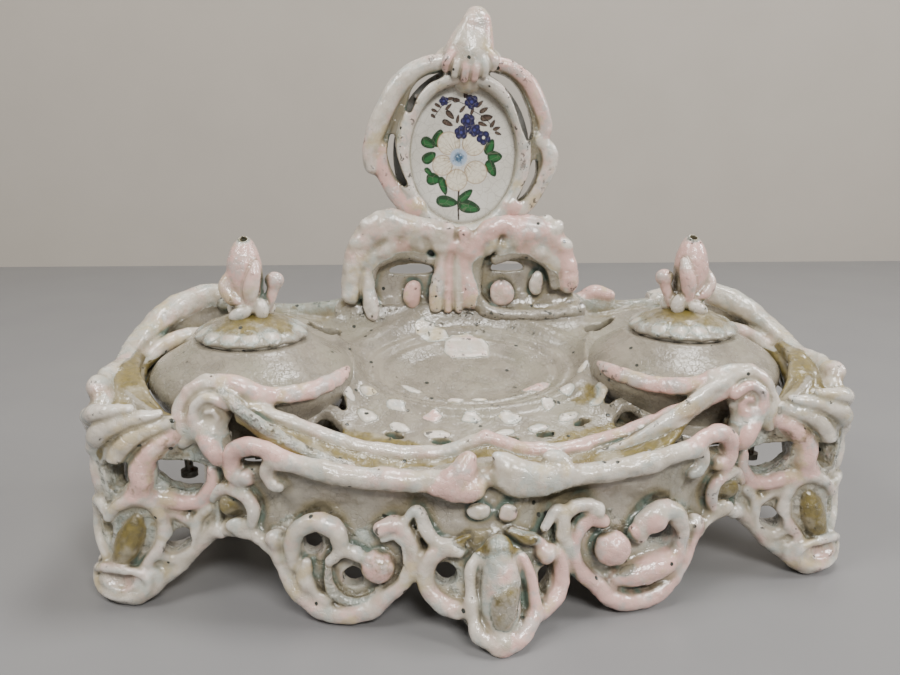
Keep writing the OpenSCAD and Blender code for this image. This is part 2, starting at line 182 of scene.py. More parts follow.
class Blob:
    """Ellipsoid with half axes r, turned by degrees about x, y and z."""

    def __init__(self, centre, r, turn=(0, 0, 0)):
        self.c = np.array(centre, float)
        self.r = np.array(r, float) * np.ones(3)
        rot = Matrix.Rotation(math.radians(turn[2]), 3, "Z") \
            @ Matrix.Rotation(math.radians(turn[1]), 3, "Y") \
            @ Matrix.Rotation(math.radians(turn[0]), 3, "X")
        self.axes = np.array(rot).T
        half = np.sqrt(((self.axes.T * self.r) ** 2).sum(1))
        self.lo, self.hi = self.c - half, self.c + half

    def __call__(self, x, y, z, reach):
        p = [(x - self.c[0])[:, None, None], (y - self.c[1])[None, :, None],
            (z - self.c[2])[None, None, :]]
        k0 = k1 = 0
        for axis, r in zip(self.axes, self.r):
            q = (p[0] * axis[0] + p[1] * axis[1] + p[2] * axis[2]) / r
            k0 = k0 + q * q
            k1 = k1 + (q / r) ** 2
        k0, k1 = np.sqrt(k0), np.sqrt(k1)
        return (k0 * (k0 - 1) / np.maximum(k1, 1e-6)).astype(np.float32)


class Sheet:
    """Plate between front(u, z) and front + thick along y, inside an outline in x and z."""

    def __init__(self, lo, hi, front, thick, outline, rim=1.5):
        self.lo, self.hi = np.array(lo, float), np.array(hi, float)
        self.front, self.thick, self.outline, self.rim = front, thick, outline, rim

    def __call__(self, x, y, z, reach):
        u, v = x[:, None], z[None, :]
        mid = (self.front(u, v) + self.thick / 2) * np.ones((len(x), len(z)))
        slope = np.sqrt(1 + sum(g ** 2 for g in np.gradient(mid, x, z)))
        edge = self.outline(u, v) * np.ones((len(x), len(z)))
        a = np.abs(y[None, :, None] - mid[:, None, :]) / slope[:, None, :]
        a = a - (self.thick / 2 - self.rim)
        b = edge[:, None, :] + self.rim + 0 * a
        return rounded_plate(a, b, self.rim).astype(np.float32)


class Slab:
    """Plate between bottom(x, y) and top(x, y), inside an outline in x and y."""

    def __init__(self, lo, hi, top, bottom, outline, rim=1.2):
        self.lo, self.hi = np.array(lo, float), np.array(hi, float)
        self.top, self.bottom, self.outline, self.rim = top, bottom, outline, rim

    def __call__(self, x, y, z, reach):
        u, v = x[:, None], y[None, :]
        top = self.top(u, v) * np.ones((len(x), len(y)))
        low = self.bottom(u, v) * np.ones((len(x), len(y)))
        slope = np.sqrt(1 + sum(g ** 2 for g in np.gradient((top + low) / 2, x, y)))
        edge = self.outline(u, v) * np.ones((len(x), len(y)))
        a = np.abs(z[None, None, :] - ((top + low) / 2)[:, :, None]) - ((top - low) / 2)[:, :, None]
        a = a / slope[:, :, None] + self.rim
        b = edge[:, :, None] + self.rim + 0 * a
        return rounded_plate(a, b, self.rim).astype(np.float32)


class Lathe:
    """Turned solid from a closed (radius, z) profile about a vertical axis; wave(angle) adds
    to the radius."""

    def __init__(self, cx, cy, profile, wave=None, swell=0.0):
        self.c = (cx, cy)
        self.profile = np.asarray(profile, float)
        r = self.profile[:, 0].max() + swell
        self.lo = np.array([cx - r, cy - r, self.profile[:, 1].min()])
        self.hi = np.array([cx + r, cy + r, self.profile[:, 1].max()])
        self.wave = wave

    def __call__(self, x, y, z, reach):
        dx, dy = (x - self.c[0])[:, None], (y - self.c[1])[None, :]
        rad = np.hypot(dx, dy)
        if self.wave is not None:
            rad = rad - self.wave(np.arctan2(dy, dx), rad)
        step = 0.2                             # spacing of the table of distances, mm
        top = max(float(rad.max()), 1.0) + 2 * step
        table = polygon_distance(self.profile, np.arange(0, top, step)[:, None], z[None, :])
        at = np.clip(rad / step, 0, len(table) - 1.001)
        i = at.astype(int)
        f = (at - i)[..., None]
        return (table[i] * (1 - f) + table[i + 1] * f).astype(np.float32)


class Prism:
    """Outline extruded along one axis (0, 1 or 2) between two values; used for holes."""

    def __init__(self, axis, outline, start, stop):
        self.axis, self.outline = axis, np.asarray(outline, float)
        lo, hi = self.outline.min(0), self.outline.max(0)
        self.lo, self.hi = np.insert(lo, axis, start), np.insert(hi, axis, stop)

    def __call__(self, x, y, z, reach):
        axes = [x, y, z]
        along = axes.pop(self.axis)
        flat = polygon_distance(self.outline, axes[0][:, None], axes[1][None, :])
        lo, hi = self.lo[self.axis], self.hi[self.axis]
        end = np.abs(along - (lo + hi) / 2) - (hi - lo) / 2
        shape = [1, 1, 1]
        shape[self.axis] = -1
        return np.maximum(np.expand_dims(flat, self.axis), end.reshape(shape)).astype(np.float32)


# ------------------------------------------------------------------ the field
class Field:
    """Grid of signed distances and paint values that shapes are added to or cut from."""

    def __init__(self, lo, hi, cell):
        self.cell = cell * COARSER
        self.lo = np.array(lo, float)
        n = np.ceil((np.array(hi, float) - self.lo) / self.cell).astype(int) + 1
        self.axes = [self.lo[i] + self.cell * np.arange(n[i]) for i in range(3)]
        self.d = np.full(n, FAR, np.float32)
        self.paint = np.zeros((3, *n), np.float32)

    def window(self, shape, margin):
        out = []
        for i in range(3):
            a = int(np.floor((shape.lo[i] - margin - self.lo[i]) / self.cell))
            b = int(np.ceil((shape.hi[i] + margin - self.lo[i]) / self.cell)) + 1
            a, b = max(a, 0), min(b, len(self.axes[i]))
            if b - a < 2:
                return None, None
            out.append(slice(a, b))
        return tuple(out), [self.axes[i][out[i]] for i in range(3)]

    def repaint(self, w, paint, mix):
        for channel, value in enumerate(paint):
            zone = self.paint[channel][w]
            zone += (value - zone) * mix

    def add(self, shape, paint=None, k=1.2, edge=0.5):
        """Union with a fillet k; the shape's paint takes over where it is the nearer one."""
        k = k * SOFT
        w, axes = self.window(shape, 2 * k + MARGIN)
        if w is None:
            return
        d = shape(*axes, 2 * k + MARGIN)
        old = self.d[w]
        h = np.clip(0.5 + 0.5 * (old - d) / k, 0, 1)
        if paint is not None:
            mix = np.clip(0.5 + 0.5 * (old - d) / edge, 0, 1)
            self.repaint(w, paint, mix)
        self.d[w] = old + (d - old) * h - k * h * (1 - h)

    def cut(self, shape, k=0.6, paint=None):
        """Take a shape away with a rounded edge k; paint colours the walls of the cut."""
        w, axes = self.window(shape, 2 * k + MARGIN)
        if w is None:
            return
        d = -shape(*axes, 2 * k + MARGIN)
        old = self.d[w]
        h = np.clip(0.5 + 0.5 * (d - old) / k, 0, 1)
        if paint is not None:
            mix = np.clip(0.5 + 0.5 * (d - old + 1.0), 0, 1)
            self.repaint(w, paint, mix)
        self.d[w] = old + (d - old) * h + k * h * (1 - h)

    def tint(self, shape, paint, soft=1.0):
        """Recolour whatever lies inside a shape, leaving the form alone."""
        w, axes = self.window(shape, soft + 1)
        if w is None:
            return
        mix = np.clip(0.5 - 0.5 * shape(*axes, soft + 1) / soft, 0, 1)
        self.repaint(w, paint, mix)


NOISE_CELLS = 32                # the noise repeats after this many cells
NOISE = np.random.default_rng(7).random((NOISE_CELLS,) * 3).astype(np.float32)


def trilinear(volume, i, f, wrap=None):
    """Weighted sum of the eight voxels round cell i, at the fractions f."""
    out = 0
    for corner in range(8):
        o = np.array([(corner >> b) & 1 for b in range(3)])
        w = np.prod(np.where(o, f, 1 - f), axis=1)
        j = (i + o) % wrap if wrap else i + o
        out = out + w * volume[j[:, 0], j[:, 1], j[:, 2]]
    return out


def value_noise(points, size, shift=0.0):
    """Smooth value noise, 0 to 1, at points in mm."""
    p = points / size + shift
    i = np.floor(p).astype(int)
    f = p - i
    return trilinear(NOISE, i, f * f * (3 - 2 * f), NOISE_CELLS)


def sample(volume, field, points):
    """Trilinear values of a volume at points in mm."""
    g = (points - field.lo) / field.cell
    limit = np.array(volume.shape) - 1.001
    g = np.clip(g, 0, limit)
    i = g.astype(int)
    return trilinear(volume, i, g - i)


def box_blur(volume, cells):
    """Mean over a cube of 2 * cells + 1 voxels."""
    out = volume
    for axis in range(3):
        pad = [(0, 0)] * 3
        pad[axis] = (cells + 1, cells)
        total = np.cumsum(np.pad(out, pad, mode="edge"), axis=axis, dtype=np.float64)
        n = out.shape[axis]
        hi = np.take(total, np.arange(2 * cells + 1, 2 * cells + 1 + n), axis=axis)
        lo = np.take(total, np.arange(0, n), axis=axis)
        out = ((hi - lo) / (2 * cells + 1)).astype(np.float32)
    return out


def link(thing):
    bpy.context.scene.collection.objects.link(thing)


def to_object(name, points, faces, material, attributes, body, replaced, colours=None):
    """Mesh object from points in mm, riding on a body in the place of CAD nodes."""
    mesh = bpy.data.meshes.new(name)
    mesh.from_pydata((points * MM).tolist(), [], faces)
    for key, values in (colours or {}).items():
        layer = mesh.attributes.new(key, "FLOAT_COLOR", "POINT")
        layer.data.foreach_set("color", values.astype(np.float32).ravel())
    for key, values in attributes.items():
        layer = mesh.attributes.new(key, "FLOAT", "POINT")
        layer.data.foreach_set("value", np.asarray(values, np.float32))
    mesh.polygons.foreach_set("use_smooth", np.ones(len(mesh.polygons), bool))
    mesh.materials.append(material)
    mesh.update()
    piece = bpy.data.objects.new(name, mesh)
    link(piece)
    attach(piece, body)
    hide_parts(*replaced)


LUMPS, LUMP_SIZE = 0.45, 5.0    # height and width of the uneven casting skin, mm
PROBES = (1.2, 2.2, 3.4)        # how far out a surface point looks for close neighbours, mm
BLUR = 1.4                      # half width of the mean that tells ridges from hollows, mm


def surface(field, lumps=LUMPS, lump_size=LUMP_SIZE):
    """Points, faces and paint attributes of the field's surface."""
    inner = field.d
    for axis in range(3):                      # close the surface at the walls of the grid
        for end in (0, -1):
            edge = [slice(None)] * 3
            edge[axis] = end
            inner[tuple(edge)] = np.maximum(inner[tuple(edge)], 0.5 * field.cell)
    grid = vdb.FloatGrid(FAR)
    grid.copyFromArray(inner)
    points, _, quads = grid.convertToPolygons(isovalue=0.0, adaptivity=0.0)
    points = points * field.cell + field.lo
    near = np.clip(field.d, -3, 3)
    wide = box_blur(near, max(1, int(round(BLUR / field.cell))))
    attributes = {"cream": sample(field.paint[0], field, points), "ochre": sample(field.paint[1],
        field, points), "pink": sample(field.paint[2], field, points),
        "bulge": sample(wide, field, points),}
    e = field.cell * 0.6
    grad = np.stack([sample(field.d, field, points + np.eye(3)[i] * e) - sample(field.d, field,
        points - np.eye(3)[i] * e) for i in range(3)], 1)
    grad /= np.maximum(np.linalg.norm(grad, axis=1, keepdims=True), 1e-6)
    shade = np.zeros(len(points))
    end = field.lo + field.cell * (np.array(field.d.shape) - 2)
    for h in PROBES:                           # how much lies close in front of the surface
        probe = points + h * grad
        inside = np.all((probe > field.lo + field.cell) & (probe < end), axis=1)
        shade += np.clip(1 - sample(field.d, field, probe) / h, 0, 1) * inside / len(PROBES)
    attributes["shade"] = shade
    wave = value_noise(points, lump_size) + 0.5 * value_noise(points, lump_size / 2.3, 11.3) - 0.75
    points = points + grad * (wave * 2 * lumps)[:, None]
    return points, quads[:, ::-1].astype(int), attributes


def casting(name, field, material, body, replaced, lumps=LUMPS, lump_size=LUMP_SIZE):
    points, faces, attributes = surface(field, lumps, lump_size)
    to_object(name, points, faces.tolist(), material, attributes, body, replaced)


def mirrored_pair(stem, field, material, node, lumps=LUMPS, lump_size=LUMP_SIZE):
    """Right-hand casting from a field, and the left-hand one as its mirror image."""
    points, faces, attributes = surface(field, lumps, lump_size)
    for side, word in ((1, "right"), (-1, "left")):
        to_object(f"{word}_{stem}", points * (side, 1, 1),
            (faces if side > 0 else faces[:, ::-1]).tolist(), material, attributes, "stand",
            [f"{word}_{node}"])


class Shape:
    """Any distance function of broadcast x, y, z, with its box."""

    def __init__(self, lo, hi, fn):
        self.lo, self.hi, self.fn = np.array(lo, float), np.array(hi, float), fn

    def __call__(self, x, y, z, reach):
        return self.fn(x[:, None, None], y[None, :, None], z[None, None, :]).astype(np.float32)


def ellipse(cu, cv, a, b, turn=0, n=20):
    """Closed outline of an ellipse turned by degrees."""
    t = np.linspace(0, 2 * math.pi, n, endpoint=False)
    c, s = math.cos(math.radians(turn)), math.sin(math.radians(turn))
    u, v = a * np.cos(t), b * np.sin(t)
    return np.stack([cu + u * c - v * s, cv + u * s + v * c], 1)


# ------------------------------------------------------------------ front apron
APRON_H = 47.5
LOW_PATH = spline([[0, -68], [7, -67], [14, -61.5], [27, -53], [48, -49], [62, -45.5], [78, -36.5],
    [94, -27]], 4)
HIGH_PATH = spline([[0, -47.5], [7, -47.5], [14, -47], [27, -46], [48, -45], [62, -43.5], [78, -36.5],
    [94, -27]], 4)


def apron_y(x, z):
    """Front face of the apron: it leans forward towards the middle foot."""
    k = np.clip(z / APRON_H, -0.05, 1.1)
    low = np.interp(np.abs(x), LOW_PATH[:, 0], LOW_PATH[:, 1])
    high = np.interp(np.abs(x), HIGH_PATH[:, 0], HIGH_PATH[:, 1])
    return low * (1 - k) + high * k


def apron_face(x, z):
    """The plain panel of the apron, hollowed under the rolled border."""
    hollow = 3.0 * np.exp(-((z - 37) / 8) ** 2) * smooth_step(4, 20, np.abs(x))
    return apron_y(x, z) + 1.2 + hollow * (1 - smooth_step(70, 84, np.abs(x)))


def on_apron(rows, side=1, out=0.0):
    """Rows of x, z, radius (and how far they stand out) placed on the apron's face."""
    rows = np.asarray([list(r) + [out] * (4 - len(r)) for r in rows], float)
    x, z, r, off = rows.T
    return np.stack([side * x, apron_y(x, z) - off, z, r], 1)


def strand(f, rows, side, out, paint, k):
    """Add a tube that runs over the apron's face, standing out from it."""
    f.add(Tube(on_apron(rows, side, out)), paint, k)


def apron_blob(x, z, rx, rz, depth=2.5, out=0.0, turn=0, lean=0):
    return Blob((x, float(apron_y(x, z)) - out, z), (rx, depth, rz), (lean, turn, 0))


def lower_outline():
    half = [[0, 0], [7, 2.5], [13, 7], [19, 9.5], [23.5, 13.5], [26.5, 15.8], [30, 14], [33.5, 9],
        [38, 4.5], [43, 1.5], [49, 0.3], [57, 1.5], [64, 5.5], [69.5, 13], [73.5, 21], [78, 24.5],
        [84, 25.6], [90, 24.6], [96, 22]]
    top = [[96, 46], [84, 50], [70, 52], [55, 51], [40, 50], [20, 51], [0, 54]]
    right = half + top
    left = [[-x, z] for x, z in reversed(right[1:-1])]
    return np.array(right + left, float)


def side_lobe_rims(f, s):
    rim = [[72.5, 27, 2.6], [70.5, 21, 2.8], [68, 15.5, 3.0], [63.5, 9, 3.2], [57, 4.6, 3.4],
        [48.5, 3.3, 3.5], [40, 6, 3.4], [35, 11, 3.2], [31, 14.5, 3.0], [27.5, 18.5, 2.8],
        [26, 25, 2.8], [27.8, 31, 2.8], [32, 34.6, 2.8], [37, 33, 2.6]]
    strand(f, rim, s, 0.8, CREAM if s < 0 else PINK, 1.0)
    ring = [[65.5, 20, 2.6], [66, 27, 3.0], [63.2, 33, 3.2], [57.3, 35.6, 3.3], [51.6, 32.5, 3.2],
        [50, 27, 2.8]]
    strand(f, ring, s, 1.0, CREAM, 0.9)
    f.add(apron_blob(s * 71.5, 27.5, 3.4, 3.4, 3, 1.2), CREAM, 0.8)


def left_lobe(f):
    s = -1
    side_lobe_rims(f, s)
    f.add(apron_blob(-38, 20.5, 5.6, 5.6, 4.5, 1.2), PEACH, 0.7)
    strand(f, [[53.7, 22, 1.8], [50, 25.3, 2.2], [46, 25.5, 2.3], [42.5, 23.5, 1.8]], s, 1.5, WHITE,
        0.6)
    strand(f, [[61.5, 21, 2.0], [62, 15.5, 2.8], [59, 10.5, 2.4], [55, 8, 1.6]], s, 1.2, CREAM, 0.7)
    strand(f, [[54.5, 20, 1.2], [54.3, 14, 1.8], [51.5, 9.6, 1.9], [46, 7.7, 1.7], [40.5, 9.5, 1.5],
        [38, 13, 1.2]], s, 0.8, DULL, 0.7)
    strand(f, [[36.5, 30, 1.0], [32.5, 31.3, 1.3], [29.5, 28.5, 1.3], [29, 22.5, 1.2],
        [30.5, 18, 0.9]], s, 1.8, WHITE, 0.5)
    f.cut(Prism(1, ellipse(-59.3, 26.4, 3.1, 3.5), -80, -20), 0.9)
    f.cut(Prism(1, ellipse(-46.4, 15.2, 3.4, 3.5), -80, -20), 0.8)


def right_lobe(f):
    s = 1
    side_lobe_rims(f, s)
    f.add(apron_blob(40, 24, 6.3, 6.1, 5.2, 2.0), PINK, 0.5)
    f.add(apron_blob(47.7, 28.8, 2.1, 2.6, 2.2, 1.6, 20), PINK, 0.5)
    f.add(apron_blob(54.8, 32, 4.6, 4.3, 3.8, 1.8), PINK, 0.8)
    strand(f, [[42.5, 12, 2.6], [48, 12.5, 4.0], [54, 14, 4.8], [60, 15.5, 4.6], [64.5, 17.5, 3.0]], s,
        0.2, PINK, 1.2)
    f.cut(Tube(on_apron([[40.5, 15.5, 0.7], [44.5, 16.3, 1.2], [47.3, 18.5, 1.4], [48.5, 22, 0.9]], s,
        3.0)), 0.6, GREY)
    f.cut(Prism(1, loop([[52.5, 25.5], [57, 27.5], [62.5, 27.8], [64.2, 24.5], [61, 20.8],
        [57, 21.5]]), -80, -20), 0.9)


def middle_foot(f):
    f.add(Tube([[0, -59.0, 30, 5.0], [0.5, -61.0, 21, 6.4], [0.5, -63.0, 11, 6.4],
        [0.5, -64.5, 5, 5.0]]), (0.7, 0.1, 0.4), 1.0)
    f.add(Blob((1.2, -65.4, 16.4), (4.9, 4.2, 9.6), (-20, 6, 0)), (0.1, 0.4, 0), 0.3)
    for side, rows in ((1, [[1, 29, 2.0], [6.5, 27, 2.4], [9.6, 22, 2.6], [11.2, 15, 2.6],
            [11.2, 9, 2.8], [7, 4.6, 3.2], [1.5, 2.6, 3.4]]), (-1, [[-1, 29, 2.0], [5.2, 28, 2.3],
            [8.4, 23.5, 2.4], [8.6, 17, 2.0], [8.2, 10, 2.2], [6.6, 5.5, 3.0], [1.5, 2.6, 3.4]])):
        strand(f, rows, side, 2.0, CREAM if side < 0 else PINK, 0.7)
    strand(f, [[0, 7, 2.5], [0, 3.2, 3.6]], 1, 2.6, CREAM, 1.0)
    strand(f, [[11.5, 27.8, 2.2], [16.5, 28, 2.8], [21, 24.5, 3.1], [22.6, 18.5, 3.2],
        [20.6, 12.7, 3.2], [15.3, 9.8, 3.0], [10, 11, 2.6], [8, 14, 2.0]], -1, 1.0, CREAM, 0.8)
    strand(f, [[15, 26.4, 2.4], [20.2, 24.6, 2.8], [22.3, 18.5, 3.0], [21.2, 12, 3.0],
        [16.5, 8.4, 3.0], [11, 7.5, 2.8]], 1, 1.0, PINK, 0.8)
    f.add(apron_blob(16.6, 25.2, 3.0, 3.0, 2.6, 2.4), PINK, 0.6)
    f.cut(Prism(1, ellipse(-16.0, 18.9, 3.4, 3.7), -90, -20), 0.8)
    f.cut(Prism(1, loop([[14, 18.6], [17.2, 20.6], [19.2, 19.4], [18, 14.4], [15.6, 11.6]]), -90, -20),
        0.7)
    # acanthus wings on both sides of the foot, and the leaf tongues between them
    strand(f, [[29.5, 35.5, 1.2], [26.5, 39, 1.8], [24.4, 38.4, 2.2], [22.6, 33.5, 2.4],
        [19.5, 30, 2.3], [14.5, 29.6, 2.0], [9, 32.8, 1.0]], -1, 1.2, WHITE, 0.7)
    strand(f, [[16, 33, 1.2], [20.6, 38.6, 2.2], [22.8, 34, 2.6], [23, 28.5, 2.6], [26.5, 22, 2.0],
        [28.3, 19, 1.2]], 1, 1.4, WHITE, 0.7)
    strand(f, [[4.5, 34, 1.4], [9, 31.8, 2.3], [13.5, 30, 2.0], [16, 27.5, 1.4]], 1, 1.0, PINK, 0.7)
    strand(f, [[22, 30, 1.6], [22.4, 36, 2.1], [26, 38.6, 2.4], [30.5, 39.6, 2.6], [34.6, 37.6, 2.5]],
        1, 1.6, CREAM, 0.7)
    f.tint(Blob((0, -55, 31.5), (14, 8, 3.5)), (0, 0.75, 0), 1.5)


def apron_border(f):
    for s, paint in ((-1, CREAM), (1, WHITE)):
        roll = [[0, 50.5, 2.6], [10, 49.5, 3.4], [20, 48.8, 3.6], [32, 49.2, 3.7], [44, 50.6, 3.7],
            [56, 53, 3.5], [65, 54.8, 3.2], [71.5, 54.2, 3.0], [73.6, 50, 2.7], [71.8, 46.4, 2.4],
            [69.6, 45.6, 1.8]]
        strand(f, roll, s, 0.2, paint, 1.0)
        strand(f, [[66, 55.5, 2.2], [73, 58, 2.8], [79.5, 58.6, 3.1], [84.6, 55.6, 3.3],
            [86, 50.4, 3.4], [84, 46.4, 3.3], [80.8, 47.2, 2.6]], s, 0.6, PINK, 1.0)
        # scroll with its hollow eye, and the leaf at the top of the wide arch
        strand(f, [[93, 37.5, 2.3], [90, 41, 2.4], [85.5, 42, 2.4], [81, 40.4, 2.4], [79, 36, 2.3],
            [79.8, 31, 2.0]], s, 1.0, CREAM, 0.9)
        f.add(Blob((s * 87, float(apron_y(87, 35.5)) - 0.2, 35.6), (4.2, 2.2, 4.0)), (0.1, 0.8, 0), 0.5)
        f.add(apron_blob(s * 83, 29.2, 5.6, 3.2, 2.4, 1.6, -12 * s), WHITE, 0.7)
        strand(f, [[93.5, 24.6, 2.6], [88, 26.6, 2.4], [82, 27.2, 2.2], [77, 25.4, 2.2],
            [74, 23.5, 2.2]], s, 0.4, WHITE, 1.0)
    # heart-shaped leaves over the middle, and the drops below them
    strand(f, [[19, 47.2, 2.4], [14.5, 49.5, 4.2], [10.5, 52.5, 4.6], [8.6, 56.4, 2.8]], -1, 2.2, PINK,
        0.8)
    strand(f, [[14, 46.4, 3.2], [8, 46.8, 3.8], [4.8, 48.6, 2.6]], -1, 2.4, PINK, 1.0)
    strand(f, [[0.6, 57, 1.8], [4, 53.4, 4.3], [10, 50.8, 4.8], [17, 50.2, 4.0], [24, 51.8, 2.6]], 1,
        2.2, WHITE, 0.8)
    strand(f, [[2.4, 48.8, 2.0], [8, 46.8, 2.8], [15, 47.0, 2.4], [22, 48.4, 1.8]], 1, 2.2, WHITE, 2.2)
    f.add(apron_blob(20.5, 54.8, 4.8, 3.2, 3, 0.4, 12), WHITE, 0.9)
    f.add(apron_blob(-5.6, 40.2, 4.2, 2.7, 1.8, 1.2), WHITE, 0.5)
    f.add(apron_blob(4.0, 39.3, 3.2, 3.4, 1.8, 1.2, 45), CREAM, 0.5)


def make_apron():
    f = Field((-97, -73, -0.6), (97, -20, 63), 0.62)
    outline = lower_outline()
    f.add(Sheet((-97, -72, 0), (97, -24, 54), apron_face, 6.0, lambda u,
        v: polygon_distance(outline, u, v), 1.6), GREY, 0.5)
    lobe_paint = loop([[24, 0], [28, 30], [36, 36], [48, 30], [56, 38], [68, 34], [74, 26], [62, -2]])
    for s in SIDES:
        f.tint(Prism(1, lobe_paint * (s, 1), -80, -30), (0.62, 0.18, 0.25), 1.5)
    f.tint(Prism(1, loop([[-24, 8], [-22, 28], [0, 30], [22, 28], [24, 8], [0, -2]]), -80, -40),
        (0.55, 0.22, 0.2), 1.5)
    left_lobe(f)
    right_lobe(f)
    middle_foot(f)
    apron_border(f)
    casting("front_apron_casting", f, paint_material("paint_apron", 3), "stand", ["front_apron"])


# ------------------------------------------------------------------ wings and corner feet
CORNER = spline([[90, -29.5], [94, -26.6], [104, -26], [115, -28.4], [124, -28.6], [129.6, -24.8],
    [132.2, -16], [132.8, -6], [132.4, 6]], 5)
CORNER_S = np.concatenate([[0], np.cumsum(np.hypot(*np.diff(CORNER, axis=0).T))]) - 4.9


def corner_at(s):
    """Plan position and outward direction at arc length s round the corner."""
    x = np.interp(s, CORNER_S, CORNER[:, 0])
    y = np.interp(s, CORNER_S, CORNER[:, 1])
    dx = np.interp(s + 1, CORNER_S, CORNER[:, 0]) - np.interp(s - 1, CORNER_S, CORNER[:, 0])
    dy = np.interp(s + 1, CORNER_S, CORNER[:, 1]) - np.interp(s - 1, CORNER_S, CORNER[:, 1])
    n = np.hypot(dx, dy) + 1e-9
    return x, y, dy / n, -dx / n


def on_corner(rows, out=0.0):
    rows = np.asarray([list(r) + [out] * (4 - len(r)) for r in rows], float)
    s, z, r, off = rows.T
    x, y, nx, ny = corner_at(s)
    return np.stack([x + nx * off, y + ny * off, z, r], 1)


CORNER_RIM = 1.5                # rounding of the corner wall's edges
HOLE_REACH = 9                  # how far a corner hole cuts to each side of the path


def nearest_on(path, px, py):
    """Distance from points to the corner path, and the arc length of the nearest place."""
    best, arc = None, None
    for i in range(len(CORNER) - 1):
        a, e = path[i], path[i + 1] - path[i]
        t = np.clip(((px - a[0]) * e[0] + (py - a[1]) * e[1]) / (e @ e), 0, 1)
        d = np.hypot(px - a[0] - t * e[0], py - a[1] - t * e[1])
        s = CORNER_S[i] + t * (CORNER_S[i + 1] - CORNER_S[i])
        arc = s if best is None else np.where(d < best, s, arc)
        best = d if best is None else np.minimum(best, d)
    return best, arc


def corner_wall(outline, thick, inset=0.0):
    """Wall along the corner path, shaped by an outline in arc length and z."""
    _, _, nx, ny = corner_at(CORNER_S)
    path = CORNER[:, :2] - inset * np.stack([nx, ny], 1)

    def fn(x, y, z):
        best, arc = nearest_on(path, x[:, :, 0], y[:, :, 0])
        a = best[:, :, None] - thick / 2 + CORNER_RIM + 0 * z
        b = polygon_distance(outline, arc[:, :, None], z) + CORNER_RIM
        return rounded_plate(a, b, CORNER_RIM)
    return Shape((86, -34, 0), (137, 10, 78), fn)


def polar(x, y):
    """Radius and angle in degrees round the right-hand well."""
    dx, dy = x - well[0], y - well[1]
    return np.hypot(dx, dy), np.degrees(np.arctan2(dy, dx))


def ring_at(angle, radius, z, r):
    a = math.radians(angle)
    return [well[0] + radius * math.cos(a), well[1] + radius * math.sin(a), z, r]


RIM_ANGLES = [-75, -50, -30, -12, 8, 26, 41, 57, 70, 84]
RIM_Z = [64, 68, 71.5, 74, 77.5, 84, 89.5, 92.5, 92, 87]


def wing_shell():
    def fn(x, y, z):
        radius, angle = polar(x, y)
        top = np.interp(angle, RIM_ANGLES, RIM_Z)
        bottom = np.interp(angle, [-60, -20, 20, 60, 90], [54, 55, 58, 60, 58])
        across = np.abs(radius - 46.6) - 2.1
        upward = np.maximum(z - top, bottom - z) * 0.9
        around = np.maximum(angle - 86, -66 - angle) * 0.8
        return np.maximum(np.maximum(across, upward), around)
    return Shape((84, -36, 52), (134, 64, 97), fn)


COLLAR_ANGLES = [-78, -62, -52, -40, -30, -18, 0]
COLLAR_Z = [60, 61.4, 63.4, 68.5, 72, 74.4, 76]
COLLAR_R = [45, 46, 53, 59, 56, 51.5, 48]


def collar():
    """Ledge that climbs round the outer side of the dome from the volute to the wing's rim."""
    def top(x, y):
        r, angle = polar(x, y)
        return np.interp(angle, COLLAR_ANGLES, COLLAR_Z) - 0.10 * (r - 40) + 1.2

    def outline(x, y):
        r, angle = polar(x, y)
        across = np.maximum(r - np.interp(angle, COLLAR_ANGLES, COLLAR_R), 40.6 - r)
        return np.maximum(across, np.maximum(angle - 2, -76 - angle) * 0.8)
    return Slab((84, -36, 52), (136, 18, 80), top, lambda x, y: top(x, y) - 3.6, outline)


